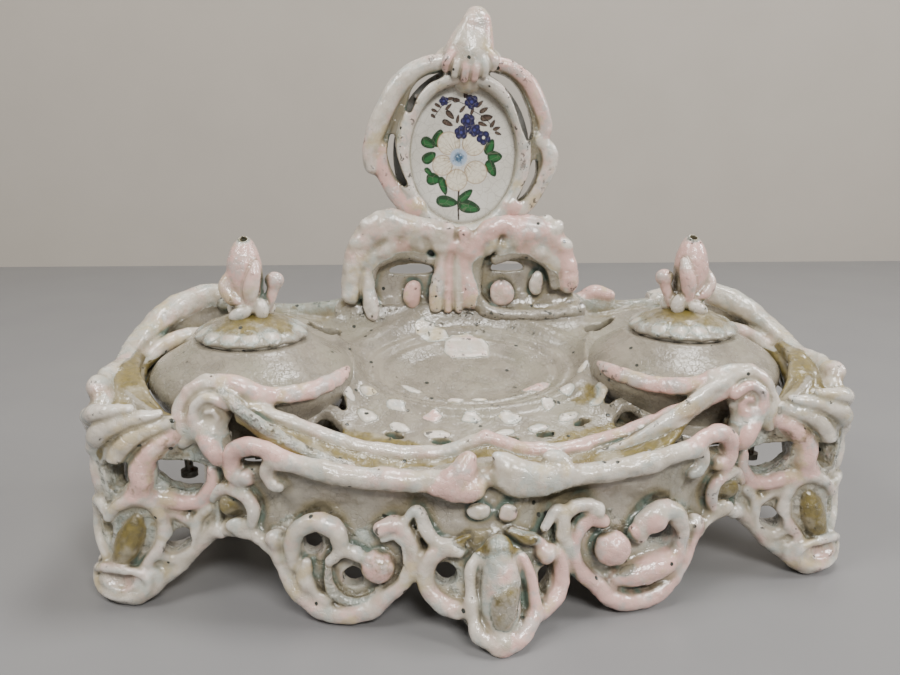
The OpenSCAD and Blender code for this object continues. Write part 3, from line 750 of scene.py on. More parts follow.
def make_wings():
    f = Field((85, -36.5, -0.6), (137.5, 75, 99), 0.62)
    f.add(wing_shell(), GREY, 0.6)
    # broad rolled rim, and the lower inner ridge that leaves the dome's shoulder
    rim = [ring_at(a, 46.4, z - 2.2, 3.6 + 1.2 * math.sin(math.radians(max(a, 0) * 2))) for a,
        z in zip(RIM_ANGLES[3:], RIM_Z[3:])]
    f.add(Tube(rim), (0.75, 0.12, 0.25), 1.6)
    f.add(Tube([ring_at(84, 46.4, 85, 4), ring_at(90, 45.5, 81, 3.2)]), CREAM, 1.5)
    f.add(Tube([ring_at(52, 38, 77.5, 2.0), ring_at(38, 38.6, 77, 3.0), ring_at(22, 40, 75.5, 3.2),
        ring_at(6, 41.2, 72.5, 2.9), ring_at(-10, 42, 68.5, 2.6), ring_at(-26, 42.6, 63.5, 2.4),
        ring_at(-42, 43, 59.5, 2.2)]), CREAM, 1.0)

    def inner(x, y, z):
        r, angle = polar(x, y)
        rise = np.interp(angle, [-60, -20, 20, 60], [55.5, 60, 68, 74])
        return np.maximum(np.maximum(np.abs(r - 43.5) - 2.6, np.abs(z - rise) - 1.3),
            np.maximum(angle - 60, -62 - angle))

    def pocket(x, y, z):
        r, angle = polar(x, y)
        return np.maximum(np.maximum(r - 46.8, z - 73), np.maximum(angle - 22, -70 - angle) * 0.6)

    f.add(Shape((84, -36, 50), (134, 60, 90), inner), GREY, 1.5)
    f.add(collar(), OCHRE, 1.2)
    f.add(Tube([[130.5, 4, 73.5, 3.0], [132.3, -5, 74, 3.0], [131.6, -13, 72.5, 3.2],
        [129.6, -20, 69, 3.2]]), (0.8, 0.25, 0.2), 1.4)
    f.tint(Shape((84, -36, 50), (134, 40, 80), pocket), OCHRE, 1.2)

    outline = [[-4.5, 24], [1, 21], [7, 15.5], [14, 9], [20, 4.5], [26, 0.5], [36, 0], [43, 3],
        [47, 9], [51, 16], [55, 21], [61, 24], [66, 30], [70, 40], [70, 73], [56, 72.5], [47, 71],
        [40, 68], [33, 65], [25, 62.5], [10, 61], [-4.5, 60]]
    f.add(corner_wall(outline, 5.5, 3.4), (0.3, 0.3, 0.1), 0.8)
    f.add(corner_wall(outline, 4.6), (0.5, 0.25, 0.2), 0.8)
    corner_ornament(f)
    rear_leg(f)
    mirrored_pair("wing_ornament", f, paint_material("paint_wing", 5), "wing_casting")


def corner_ornament(f):
    def band(rows, out, paint, k=0.55):
        f.add(Tube(on_corner(rows, out + 0.8)), paint, k)

    def lump(s, z, half, out, turn=0):
        x, y, nx, ny = corner_at(s)
        heading = math.degrees(math.atan2(nx, -ny))
        return Blob((x + nx * out, y + ny * out, z), half, (0, turn, heading))

    def knob(s, z, half, out, paint, turn=0, k=0.7):
        f.add(lump(s, z, half, out, turn), paint, k)

    knob(28.2, 22.5, (4.3, 4.0, 11.4), 1.6, (0.25, 0.7, 0), -20, 0.4)
    knob(31.5, 14.5, (3.6, 3.0, 6.0), 1.8, (0.6, 0.35, 0.2), -24, 0.6)
    band([[33.5, 32, 1.8], [30, 36.5, 2.3], [24.9, 38.8, 2.5], [20, 36.6, 2.5], [17.2, 30.5, 2.4],
        [17.6, 22.5, 2.5], [22.5, 15.8, 2.2], [27, 11, 1.8]], 1.8, CREAM)
    band([[33.8, 32, 1.6], [35.6, 36, 2.2], [39.4, 35.4, 2.4], [42.2, 29.5, 2.4], [41, 22.5, 2.4],
        [37, 18.6, 2.2], [34.6, 14, 1.8]], 1.6, WHITE)
    band([[41.5, 12, 1.8], [41.5, 6.5, 2.4], [36.5, 2.9, 2.6], [29.5, 2.5, 2.7], [23.4, 4.6, 2.8],
        [20.4, 9.4, 2.6], [22.6, 13, 2.0]], 2.4, CREAM)
    knob(31, 7.4, (9.4, 4.2, 6.4), 1.6, (1, 0.1, 0.3))
    f.cut(lump(31, 11.0, (7.4, 5.0, 5.0), 7.6), 0.5, (0.9, 0.25, 0.6))
    turns = np.linspace(0, 2 * math.pi, 13)
    band([[31 + 8.2 * math.cos(t), 8.8 + 5.4 * math.sin(t), 1.7] for t in turns], 4.2, CREAM)
    knob(16.5, 13.4, (5.0, 2.6, 5.0), 0.4, CREAM, -40, 1.0)
    band([[22, 5.5, 2.6], [14.2, 11.2, 2.9], [7.5, 17.8, 2.9], [1.5, 23.4, 2.8], [-4, 25.6, 2.6]], 0.8,
        CREAM, 1.0)
    band([[1, 34, 2.2], [5.4, 29.5, 2.4], [6.4, 24, 2.4], [9, 17.4, 2.4], [15, 15, 2.2],
        [19, 17.5, 1.8]], 1.4, WHITE)
    band([[17.8, 33.5, 1.6], [12, 31, 2.1], [6.8, 27.5, 1.8]], 1.2, CREAM)
    band([[22, 39.8, 2.4], [16, 37.4, 2.8], [9.5, 35.2, 2.8], [3.4, 36.4, 2.6], [-1.6, 41.6, 2.4],
        [-2.4, 47, 2.0]], 1.2, PINK)
    band([[-3, 62.5, 2.6], [4, 62, 3.0], [12, 59.6, 3.2], [18.6, 55.6, 3.5], [22.4, 49.6, 3.7],
        [22.8, 44, 3.5], [25.4, 39.6, 2.8]], 1.4, PEACH, 1.0)
    for s, z, r in ((17, 63.5, 0), (25, 66.2, 0.2), (33.5, 68.6, 0.3)):
        band([[s - 9, z + 1.6, 1.6], [s, z, 2.5 + r], [s + 8, z - 3.6, 3.3 + r],
            [s + 12.6, z - 10, 2.8 + r], [s + 13.2, z - 14, 1.6]], 1.0, WHITE, 0.6)
        f.tint(Tube(on_corner([[s + 2, z - 3.8, 0.8], [s + 8, z - 7.6, 1.2], [s + 10, z - 12.5, 1.3]],
            2.0)), (0.3, 0.7, 0), 0.8)
    knob(39.4, 46.5, (4.2, 3.0, 8.4), 1.2, CREAM, 12)
    knob(43.5, 30, (3.4, 2.6, 6.5), 0.8, WHITE, -8)
    knob(47, 74.0, (4.2, 3.0, 3.2), 0.2, (1, 0.2, 0.2), 0, 1.6)
    band([[49, 66, 2.6], [47.5, 58, 2.8], [47, 50, 2.6], [45, 43, 2.4], [42, 38, 2.0]], 0.8, WHITE)
    band([[58, 66, 2.6], [60, 58, 2.8], [63, 49, 2.6], [68, 42, 2.4], [69.5, 34, 2.4], [66, 27, 2.6],
        [60, 23, 2.8], [53, 19, 2.8], [47.5, 11, 2.6], [43, 5, 2.4]], 0.4, WHITE, 1.0)
    f.cut(corner_hole([[0.4, 48.6], [6, 50.2], [12, 51.2], [17.6, 51.6], [17.4, 46], [14, 41.8],
        [9, 39], [4.6, 39], [2, 43]]), 0.7)
    f.cut(corner_hole([[26.2, 51.8], [32.6, 52.4], [34.6, 49.6], [32.4, 42], [29.6, 41.2],
        [26.6, 45.4]]), 0.7)
    f.cut(corner_hole(ellipse(12.6, 21.6, 5.4, 3.9, -28)), 0.7)
    f.cut(corner_hole(ellipse(35.4, 28.0, 2.5, 6.0, -6)), 0.5)
    f.cut(corner_hole(ellipse(55, 38, 5.0, 6.0, 0)), 0.9)


def corner_hole(outline):
    """Hole through the corner, given by an outline in arc length and z."""
    outline = np.asarray(outline, float)
    lo, hi = outline.min(0), outline.max(0)
    s = np.linspace(lo[0], hi[0], 5)
    x, y, nx, ny = corner_at(s)
    xs = np.concatenate([x - 7 * nx, x + 9 * nx])
    ys = np.concatenate([y - 7 * ny, y + 9 * ny])

    def fn(px, py, pz):
        best, arc = nearest_on(CORNER, px[:, :, 0], py[:, :, 0])
        return np.maximum(polygon_distance(outline, arc[:, :, None], pz), best[:, :, None] - HOLE_REACH)
    return Shape((xs.min(), ys.min(), lo[1]), (xs.max(), ys.max(), hi[1]), fn)


def rear_leg(f):
    def leg_fn(x, y, z):
        radius, angle = polar(x, y)
        mid = 61 + 0.06 * (60 - z)
        half = np.interp(z, [0, 8, 30, 50, 62], [10, 8, 9, 14, 22])
        across = np.abs(radius - 47.3) - 1.8
        return np.maximum(np.maximum(across, (np.abs(angle - mid) - half) * 0.8),
            np.maximum(z - 64, -z))
    f.add(Shape((88, 30, 0), (134, 64, 64), leg_fn), GREY, 1.2)
    for side in SIDES:
        f.add(Tube([ring_at(61 + side * 21, 47, 62, 2.6), ring_at(61 + side * 14, 47.2, 50, 2.4),
            ring_at(61.5 + side * 9, 47.4, 32, 2.4), ring_at(63 + side * 8, 47.6, 12, 2.6),
            ring_at(64 + side * 9, 50, 3.4, 2.8)]), CREAM, 1.0)
    f.add(Blob(ring_at(64, 51.5, 4.6, 0)[:3], (8.0, 8.0, 4.7)), PINK, 1.5)
    f.add(Blob(ring_at(62, 49, 26, 0)[:3], (3.6, 3.6, 9.0)), (0.3, 0.5, 0), 1.0)


# ------------------------------------------------------------------ deck
def saucer_rho(x, y):
    return np.sqrt((x / 50) ** 2 + ((y - 23) / 29) ** 2)


RHO = [0, 0.50, 0.60, 0.66, 0.71, 0.79, 0.84, 0.93, 1.0, 1.08, 1.16, 3]
RELIEF = [-5.4, -5.2, -3.6, -2.6, -3.5, -1.4, -2.1, 1.2, 1.5, -0.2, 0, 0]


def deck_top(x, y):
    rho = saucer_rho(x, y)
    relief = sum(np.interp(rho + o, RHO, RELIEF) for o in (-0.02, -0.01, 0, 0.01, 0.02)) / 5
    side = np.hypot(np.abs(x) - well[0], y - well[1]) - HOUSING_R
    relief = relief + 4.5 * np.exp(-np.maximum(side, 0) / 3.4) * smooth_step(-24, -4, y)
    plate = np.exp(-np.maximum(51.5 - y, 0) / 3.6) * smooth_step(60, 46, np.abs(x))
    return deck_z(y) + relief + 7.5 * plate


def deck_outline(x, y):
    body = polygon_distance([[-66, -26], [66, -26], [66, 58], [-66, 58]], x, y)
    for s in SIDES:
        body = np.minimum(body, np.hypot(x - s * well[0], y - well[1]) - (HOUSING_R - 1))
        rear = np.maximum(np.hypot(x - s * well[0], y - well[1]) - 46, 2 - y)
        body = np.minimum(body, np.maximum(rear, y - 59))
        body = np.minimum(body, polygon_distance(flip([[60, 20], [88, 20], [88, 59], [60, 59]], s), x,
            y))
    return body


def make_deck():
    f = Field((-131, -29, 40), (131, 61.5, 93), 0.8)
    f.add(Slab((-131, -28, 42), (131, 60, 90), deck_top, lambda x, y: deck_top(x, y) - 4.2,
        deck_outline), GREY, 0.6)
    for s in SIDES:
        f.add(Tube(flip([[48, 55, 86.5, 2.6], [58, 57, 83.8, 3.0], [74, 58, 82.6, 3.0],
            [90, 57.5, 84.0, 3.2], [101, 54, 87, 3.4]], s)), (0.35, 0.2, 0.3), 2.0)
        f.cut(Prism(2, loop(flip([[66, 45.5], [55, 36.5], [53, 45]], s)), 60, 95), 0.8)
        f.cut(Prism(2, loop(flip([[57.5, -4], [49, -5.5], [51.5, 2.6]], s)), 40, 80), 0.8)
        f.cut(Prism(2, loop(flip([[62, -20], [58, -9], [50, -12.5], [54, -20]], s)), 40, 80), 0.8)
        f.cut(Shape((min(s * 84, s * 134), -40, 30), (max(s * 84, s * 134), 30, 80), lambda x, y,
            z: np.maximum(np.hypot(x - s * well[0], y - well[1]) - 50, 34 - np.hypot(x - s * well[0],
            y - well[1])) + 0 * z), 0.8)
    f.add(Tube([[53, 57, 87, 2.0], [60, 57.4, 89.5, 3.2], [67, 57, 88, 2.4]]), PINK, 1.2)
    spots = [[-24.1, 12.4, 5.0, 2.6, -32, WHITE], [-6.8, 5.4, 4.0, 2.4, 5, CREAM],
        [2.1, 5.1, 3.8, 2.0, -8, WHITE], [25.6, 11.5, 6.6, 2.6, 14, PINK],
        [-40.8, 4.8, 4.0, 2.2, -18, WHITE], [-30.1, -2.2, 4.8, 2.6, -20, CREAM],
        [-17.1, -8.1, 4.0, 3.0, 0, PINK], [-2.4, -9.7, 4.2, 3.2, 0, WHITE],
        [11.4, -9.7, 4.8, 3.8, 4, WHITE], [27, -3.1, 3.0, 3.0, 30, WHITE],
        [36.4, 4.0, 4.0, 3.4, 30, CREAM], [44, 12.7, 3.0, 2.6, 30, WHITE],
        [-48.7, 1.2, 4.6, 2.6, -40, WHITE], [-41.2, -7.2, 5.2, 3.0, -30, WHITE],
        [-29.4, -13.4, 4.8, 2.6, -18, WHITE], [-16.3, -17.4, 5.2, 2.4, -4, WHITE],
        [8.5, -17.2, 5.0, 2.2, 4, WHITE], [20.7, -15.6, 5.0, 2.4, 10, WHITE],
        [34.0, -9.6, 5.4, 2.8, 24, WHITE], [46.0, -1.5, 6.0, 4.0, 35, WHITE],
        [-14, 44.5, 8.0, 3.6, -6, WHITE], [0, 39, 12.5, 6.5, 0, CREAM]]
    for x, y, a, b, turn, paint in spots:
        rng = np.random.default_rng(int(abs(x * 7 + y * 13)))
        corners = ellipse(x, y, a, b, turn, 9)
        corners = (corners - (x, y)) * rng.uniform(0.72, 1.1, (9, 1)) + (x, y)
        lo, hi = corners.min(0), corners.max(0)
        f.add(Slab((*lo, 40), (*hi, 92), lambda x, y: deck_top(x, y) + 0.7, lambda x,
            y: deck_top(x, y) - 1.5, lambda x, y, c=corners: polygon_distance(c, x, y) + 0.3, 0.6),
            paint, 0.15, 0.2)
    for x, y, turn in ((-31.5, -16.6, -18), (-15, -20.3, -4), (9.5, -20, 4), (23, -18, 10),
            (38, -12.4, 24)):
        f.cut(Prism(2, ellipse(x, y, 3.6, 1.3, turn), 40, 80), 0.5)
    for s in SIDES:
        f.tint(Blob((s * 40, -20, 53), (26, 4.5, 6), (0, 0, s * 16)), (0, 0.8, 0), 2)
    f.tint(Blob((44, 2, 60), (9, 5, 5), (0, 0, 40)), (0, 0.6, 0), 2)
    casting("tray_casting", f, paint_material("paint_tray", 8, grey_only=True), "stand", ["tray_deck"],
        0.12, 9.0)


# ------------------------------------------------------------------ well housings (domes)
def make_housings():
    cx, cy = well[0], well[1]
    f = Field((cx - HOUSING_R - 3, cy - HOUSING_R - 3, 46), (cx + HOUSING_R + 3, cy + HOUSING_R + 3,
        WELL_TOP + 1), 0.7)
    r = HOUSING_R
    profile = np.vstack([spline([[r - 6.5, 50], [r - 5.2, 56], [r - 2.2, 61.6], [r - 0.2, 66.4],
        [r - 0.6, 70.4], [r - 3.4, 74.2], [r - 8.4, 77.6], [24.2, 80.6], [22.4, WELL_TOP]], 5),
        [[17.4, WELL_TOP], [17.4, 78.2], [21, 77.4], [r - 14.5, 75.6], [r - 9, 72], [r - 5.4, 68],
        [r - 8.4, 60], [r - 9.4, 52], [r - 9.4, 47.5], [r - 2.5, 47.5], [r - 2.5, 49.6]]])
    f.add(Lathe(cx, cy, profile), GREY, 0.5)
    mirrored_pair("dome_casting", f, paint_material("paint_dome", 13, grey_only=True), "well_housing",
        0.14, 11.0)


# ------------------------------------------------------------------ pen rail and volutes
RIDGE_X = [0, 5, 10, 16, 30, 47, 63, 78, 86]
RIDGE_Z = [57.2, 55.6, 53.6, 52.4, 52.6, 56.6, 63.2, 69.6, 73.6]


def make_rail():
    f = Field((-107, -42, 38), (107, 12, 83), 0.62)

    def ridge(x):
        return np.interp(np.abs(x), RIDGE_X, RIDGE_Z)

    outline = [[-70, -39], [62, -39], [72, -30], [78, -25.5], [-84, -25.5], [-84, -31]]
    f.add(Slab((-86, -40, 40), (86, -25, 76), lambda x,
        y: ridge(x) - 3.2 - 0.30 * np.clip(-28 - y, 0, 9), lambda x,
        y: ridge(x) - 6.6 - 0.30 * np.clip(-28 - y, 0, 9), lambda x,
        y: polygon_distance(outline, x, y)), OCHRE, 0.6)
    for s in SIDES:
        rear = [[s * x, -27.0, z - 2.0, 2.7] for x, z in zip(RIDGE_X, RIDGE_Z)]
        f.add(Tube(rear), CREAM if s < 0 else PINK, 0.8)
        lip = flip([[46, -38.4, 51.6, 1.4], [54, -38, 53.8, 1.6], [61, -37.6, 57.0, 1.8],
            [69, -36.4, 61.6, 1.8], [77, -34.4, 66.6, 1.9], [84, -31.0, 71.2, 2.2],
            [88, -28.0, 74.0, 2.4]], s)
        if s < 0:
            f.add(Tube(lip), (0.5, 0.35, 0.2), 1.2)
        else:
            f.add(Tube([[40, -31, 50.4, 1.4], [47, -31.6, 52.0, 2.6], [54, -32, 55, 3.6],
                [62, -32, 60, 4.4], [70, -31, 65.6, 4.4], [78, -29, 70.6, 4.0], [86, -27, 74, 3.2]],
                flat=(0, 0.9, 0.45), squeeze=1.9), (0.85, 0.0, 0.1), 1.2)
        band = flip([[102, -28.5, 57.5, 2.2], [103, -27, 64, 3.0], [100.6, -25.6, 71, 3.3],
            [95.6, -25, 75.4, 3.5], [89, -25, 76.4, 3.5], [82, -25.2, 74.6, 3.4],
            [76, -24.2, 72.0, 3.2], [69, -21.0, 70.6, 3.2], [61.4, -15.4, 70.2, 3.1],
            [54.6, -8.2, 70.8, 2.9], [50.2, -0.6, 71.4, 2.4], [48.4, 5, 71.8, 1.3]], s)
        f.add(Tube(band[:6]), CREAM, 0.9)
        f.add(Tube(band[5:], flat=(-0.5 * s, -0.7, 0.5), squeeze=1.35), PINK, 1.2)
        f.add(Blob((s * 93, -27.5, 67.5), (7.0, 3.4, 6.6), (0, 0, 0)), (0.7, 0.1, 0.2), 1.0)
        spiral = [[s * (93 + r * math.cos(a)), -29.6 - 0.5 * i / 5, 67.3 + r * math.sin(a),
            2.1 - 0.12 * i] for i, (a, r) in enumerate((math.radians(150 - 62 * j),
            6.6 - 0.75 * j) for j in range(8))]
        f.add(Tube(spiral), CREAM if s < 0 else PINK, 0.5)
        f.add(Tube(flip([[99, -27, 62, 4.0], [96, -28, 61, 4.0], [92, -29, 59, 4.0]], s)),
            (0.7, 0.1, 0.3), 2.0)
        f.add(Tube(flip([[95, -31.0, 60, 2.0], [92.6, -32.6, 56.4, 3.0], [91, -33, 53, 2.2]], s)),
            PINK, 0.9)
        f.add(Tube(flip([[92, -29, 60, 3.0], [88, -30, 54, 3.2], [86, -30, 46, 3.0]], s)), GREY, 2.0)
    casting("pen_rail_casting", f, paint_material("paint_rail", 21), "stand", ["pen_rail"])


# ------------------------------------------------------------------ back plate and rear skirt
def make_back_plate():
    f = Field((-55, 43, 72), (55, 62, 132), 0.55)
    outline = loop([[-51, 76], [-50.5, 90], [-47.6, 106], [-42, 117], [-35, 122], [-26, 121],
        [-14, 119], [0, 118], [14, 119], [25, 120], [33, 119], [41, 114], [46.6, 104], [49.8, 90],
        [51, 76]], 3)
    f.add(Sheet((-52, 51, 72), (52, 60, 126), lambda x, z: 53.6 - 3.0 * smooth_step(94, 78, z) + 0 * x,
        4.0, lambda u, v: polygon_distance(outline, u, v), 1.6), GREY, 0.5)
    # fluted stem with a two-lobed top
    for x_low, x_mid, x_top, z_low, z_top, r, paint in ((-11.4, -9.6, -6.6, 85.6, 117.6, 3.1, CREAM),
            (-6.4, -6.0, -4.2, 84.4, 112, 2.2, PINK), (-1.6, -2.4, -1.6, 84.6, 111, 2.4, CREAM),
            (2.4, 0.6, -0.2, 87, 117, 2.9, PINK)):
        f.add(Tube([[x_low, 49.0, z_low, r * 0.9], [x_low, 49.6, z_low + 5, r * 1.15],
            [x_mid, 50.2, 100, r], [x_mid * 0.8 + x_top * 0.2, 50.4, 107, r * 0.8],
            [x_top, 50, z_top, r * 1.15]]), paint, 0.7)
    # shoulders of lumpy acanthus arching down each side
    ridges = {-1: [[6, 50, 113, 2.6], [13, 50.4, 118.4, 3.6], [22, 51, 119.5, 4.6],
        [31, 51.5, 121, 5.4], [39, 52, 116.6, 5.0], [44.4, 52, 108, 4.4], [46.6, 51, 98, 3.8],
        [47.4, 49.6, 91.4, 3.2]], 1: [[3.6, 50, 110.5, 2.8], [9, 50, 117, 3.6], [16, 50.4, 120.4, 3.8],
        [25, 51, 118.6, 4.8], [34, 51.5, 117.4, 5.2], [40.6, 52, 111.6, 4.6], [44.4, 52, 104, 4.0],
        [46.4, 51, 96, 3.6]]}
    for s in SIDES:
        f.add(Tube([[s * x, y + 0.8, z - 0.6, r + 1.0] for x, y, z, r in ridges[s]]),
            CREAM if s < 0 else PINK, 1.4)
        for i, (x, z, r) in enumerate(((12, 113, 3.0), (19, 112.6, 3.4), (26, 112, 3.6),
                (33, 110, 3.8), (38.6, 106, 3.4), (30, 117, 4.0), (38, 119, 3.6), (42.0, 113.0, 3.2),
                (44.4, 104, 2.8), (22, 117, 3.6), (35.0, 121.4, 2.8), (27, 122, 2.8))):
            f.add(Blob((s * x, 49.9 + 0.6 * (i % 3), z - 1.0 * (s > 0)), (r * 1.5, r * 0.9, r * 0.9),
                (0, 35 * (i % 5 - 2) * s, 0)), (CREAM, WHITE, (1, 0.05, 0.6))[i % 3], 1.3)
        f.add(Tube(flip([[14, 50.4, 105, 1.8], [21, 51, 107.4, 2.2], [30, 51, 107.4, 2.2],
            [37.4, 51, 102.4, 2.2], [40, 50.6, 94, 2.0]], s)), GREY, 1.4)
        z_mid = 100.6 if s < 0 else 101.6
        x_mid, half = (21.6, 7.8) if s < 0 else (19.8, 6.0)
        f.cut(Prism(1, loop([[s * (x_mid - half), z_mid - 1.6], [s * (x_mid - half), z_mid + 1.6],
            [s * x_mid, z_mid + 2.6], [s * (x_mid + half), z_mid + 1.2], [s * (x_mid + half),
            z_mid - 1.6]]), 40, 65), 0.6)
    f.add(Blob((-21.2, 51, 90.6), (4.0, 2.4, 6.4), (0, 4, 0)), PINK, 0.5)
    f.add(Tube([[-40.2, 49.8, 102, 2.0], [-40.6, 49.8, 95, 3.0], [-39.2, 49, 87, 3.4],
        [-38.6, 48.4, 82, 2.4]]), CREAM, 0.5)
    f.add(Tube([[6.0, 51, 108, 2.0], [5.2, 51, 99, 2.2], [5.6, 50.4, 90, 2.2], [10.4, 48.8, 83.6, 2.2],
        [20, 47.8, 81.6, 2.1], [32, 47.8, 81.4, 2.0], [45, 49.2, 82, 1.8], [51, 51, 83, 1.5]]), GREY,
        2.6)
    f.add(Blob((17.2, 50.8, 90.6), (5.4, 2.6, 5.8)), PINK, 0.5)
    f.add(Blob((32.4, 51.2, 95), (3.2, 2.2, 5.6), (0, 8, 0)), (0.7, 0.15, 0.5), 0.5)
    f.add(Blob((45.8, 50.6, 96), (3.6, 2.8, 5.4)), CREAM, 0.8)
    casting("back_plate_casting", f, paint_material("paint_back", 31), "stand", ["back_plate"])


def make_skirt():
    f = Field((-88, 56, 8), (88, 67, 84), 0.8)
    lower = loop([[-84, 12], [-80, 12], [-70, 13], [-62, 24], [-52, 33], [-36, 35], [-18, 33], [0, 36],
        [18, 33], [36, 35], [52, 33], [62, 24], [70, 13], [80, 12], [84, 12], [84.5, 45], [84, 80],
        [0, 81], [-84, 80], [-84.5, 45]], 3)
    f.add(Sheet((-86, 57, 10), (86, 64, 80), lambda x, z: 58.6 + 0 * x + 0 * z, 3.6, lambda u,
        v: polygon_distance(lower, u, v), 1.4), GREY, 0.5)
    for s in SIDES:
        f.add(Tube(flip([[83, 61, 14, 2.6], [72, 61, 14.6, 2.6], [63, 61, 25, 2.4],
            [52, 61, 34.4, 2.4], [36, 61, 36.6, 2.4], [18, 61, 34.6, 2.4], [0, 61, 38, 2.8]], s)),
            CREAM, 1.0)
        f.add(Tube(flip([[83, 61, 14, 2.4], [83.4, 61, 45, 2.4], [83, 61, 76, 2.6]], s)), CREAM, 1.0)
        f.add(Tube(flip([[74, 62, 62, 1.6], [60, 62, 66, 2.2], [48, 62, 58, 2.4], [56, 62, 49, 2.2],
            [64, 62, 54, 1.8], [60, 62, 58, 1.2]], s)), PINK, 1.0)
        f.add(Tube(flip([[46, 62, 56, 1.6], [30, 62, 46, 2.4], [14, 62, 52, 2.4], [4, 62, 60, 1.8]],
            s)), CREAM, 1.0)
    f.add(Blob((0, 61.6, 56), (5.5, 2.6, 8.5)), PINK, 1.0)
    f.add(Tube([[-84, 60.6, 78.6, 2.4], [0, 60.6, 79.6, 2.4], [84, 60.6, 78.6, 2.4]]), CREAM, 1.2)
    casting("rear_skirt_casting", f, paint_material("paint_skirt", 37), "stand", ["rear_skirt"],
        0.15, 7.0)


# ------------------------------------------------------------------ frame round the plaque
def make_plaque_frame():
    cz = plaque_mid[2]
    f = Field((-47, 48, 96), (47, 64, 194), 0.55)
    outline = loop([[0, 187.5], [14, 186], [24, 180], [32, 171], [36.4, 161], [34.6, 155.4],
        [39.4, 150], [39.6, 143.6], [35.4, 138.6], [30.6, 131], [24.4, 124.6], [17, 123], [9, 119],
        [0, 117.6], [-9, 119], [-17, 123], [-23, 123.4], [-29.4, 130], [-35, 139], [-40.6, 142.4],
        [-41, 150], [-36.4, 161], [-31, 172], [-24, 180.6], [-13, 186]], 3)
    f.add(Sheet((-43, 52, 112), (43, 60, 190), lambda x, z: 53.8 + 0 * x + 0 * z, 4.6, lambda u,
        v: polygon_distance(outline, u, v), 1.8), GREY, 0.5)
    f.add(Sheet((-14, 56, 96), (14, 62, 124), lambda x, z: 58.4 + 0 * x + 0 * z, 3.4, lambda u,
        v: polygon_distance(loop([[-10, 98], [10, 98], [12, 108], [10, 124], [-10, 124], [-12, 108]]),
        u, v), 1.2), GREY, 1.0)
    oval_in = (plaque_hi[0] - plaque_lo[0]) / 2, (plaque_hi[2] - plaque_lo[2]) / 2
    turn = np.linspace(0, 2 * math.pi, 49)
    for grow, y, r, paint in ((0.9, 52.4, 2.9, (0.8, 0.12, 0.2)), (5.0, 54.0, 1.5, GREY)):
        f.add(Tube(np.stack([(oval_in[0] + grow) * np.sin(turn), np.full(49, y),
            cz + (oval_in[1] + grow) * np.cos(turn), np.full(49, r)], 1), 1), paint, 0.8)
    outer = {-1: ([[8, 185.6, 3.0], [17, 183.4, 3.6], [25.5, 177.4, 4.0], [31.6, 168, 4.2],
        [36, 158.4, 4.0], [38.4, 149.6, 3.4], [37.6, 143.6, 2.8]], [[33, 151, 2.6], [33.4, 143, 3.0],
        [29.4, 134.6, 3.3], [24.4, 128.6, 3.6], [19.4, 127.4, 4.2]]), 1: ([[12, 185.4, 2.6],
        [19.4, 183, 3.0], [26.4, 177.6, 3.3], [31.2, 169, 3.4], [34, 160.6, 3.0], [33, 155.4, 2.2]],
        [[31.6, 155, 2.4], [35.8, 150.4, 3.6], [36.2, 144.4, 3.6], [33, 137.6, 3.2],
        [29.2, 130.6, 3.0], [24.6, 126.4, 3.2], [20, 127.4, 3.6]])}
    for s in SIDES:
        for rows, paint in zip(outer[s], (CREAM if s < 0 else PINK, PINK if s < 0 else CREAM)):
            f.add(Tube([[s * x, 53.4, z, r] for x, z, r in rows], flat=(0, 1, 0), squeeze=1.1), paint,
                0.9)
        f.add(Blob((s * 20.5, 51.8, 127.6), (4.4, 3.2, 4.2)), PINK, 0.7)
    slots = (([[-9.6, 180.4, 1.0], [-15.5, 178, 1.5], [-20, 173.4, 1.6], [-22.6, 166.6, 1.0]]),
        ([[11.6, 180.6, 1.0], [17.8, 177.4, 1.8], [22.8, 169.6, 2.5], [26.0, 160.6, 2.3],
        [26.6, 156, 1.1]]), ([[-29.4, 156, 0.9], [-29.6, 149, 1.7], [-27.4, 142, 1.6],
        [-24.6, 137, 0.9]]), ([[30, 146, 0.9], [29, 140.6, 1.6], [26.6, 135, 1.5], [23.4, 131, 0.9]]))
    for rows in slots:
        for y in range(48, 65, 2):
            f.cut(Tube([[x, y, z, r + 0.35] for x, z, r in rows], 4), 0.5)
    seat = ellipse(0, cz, oval_in[0] + 0.15, oval_in[1] + 0.15, 0, 48)
    sight = ellipse(0, cz, oval_in[0] - 2.8, oval_in[1] - 2.8, 0, 48)
    f.cut(Prism(1, seat, plaque_lo[1] - 0.1, 70), 0.3)
    f.cut(Prism(1, sight, 40, 70), 0.8)
    casting("plaque_frame_casting", f, paint_material("paint_frame", 41), "stand", ["plaque_frame"],
        0.18, 6.0)


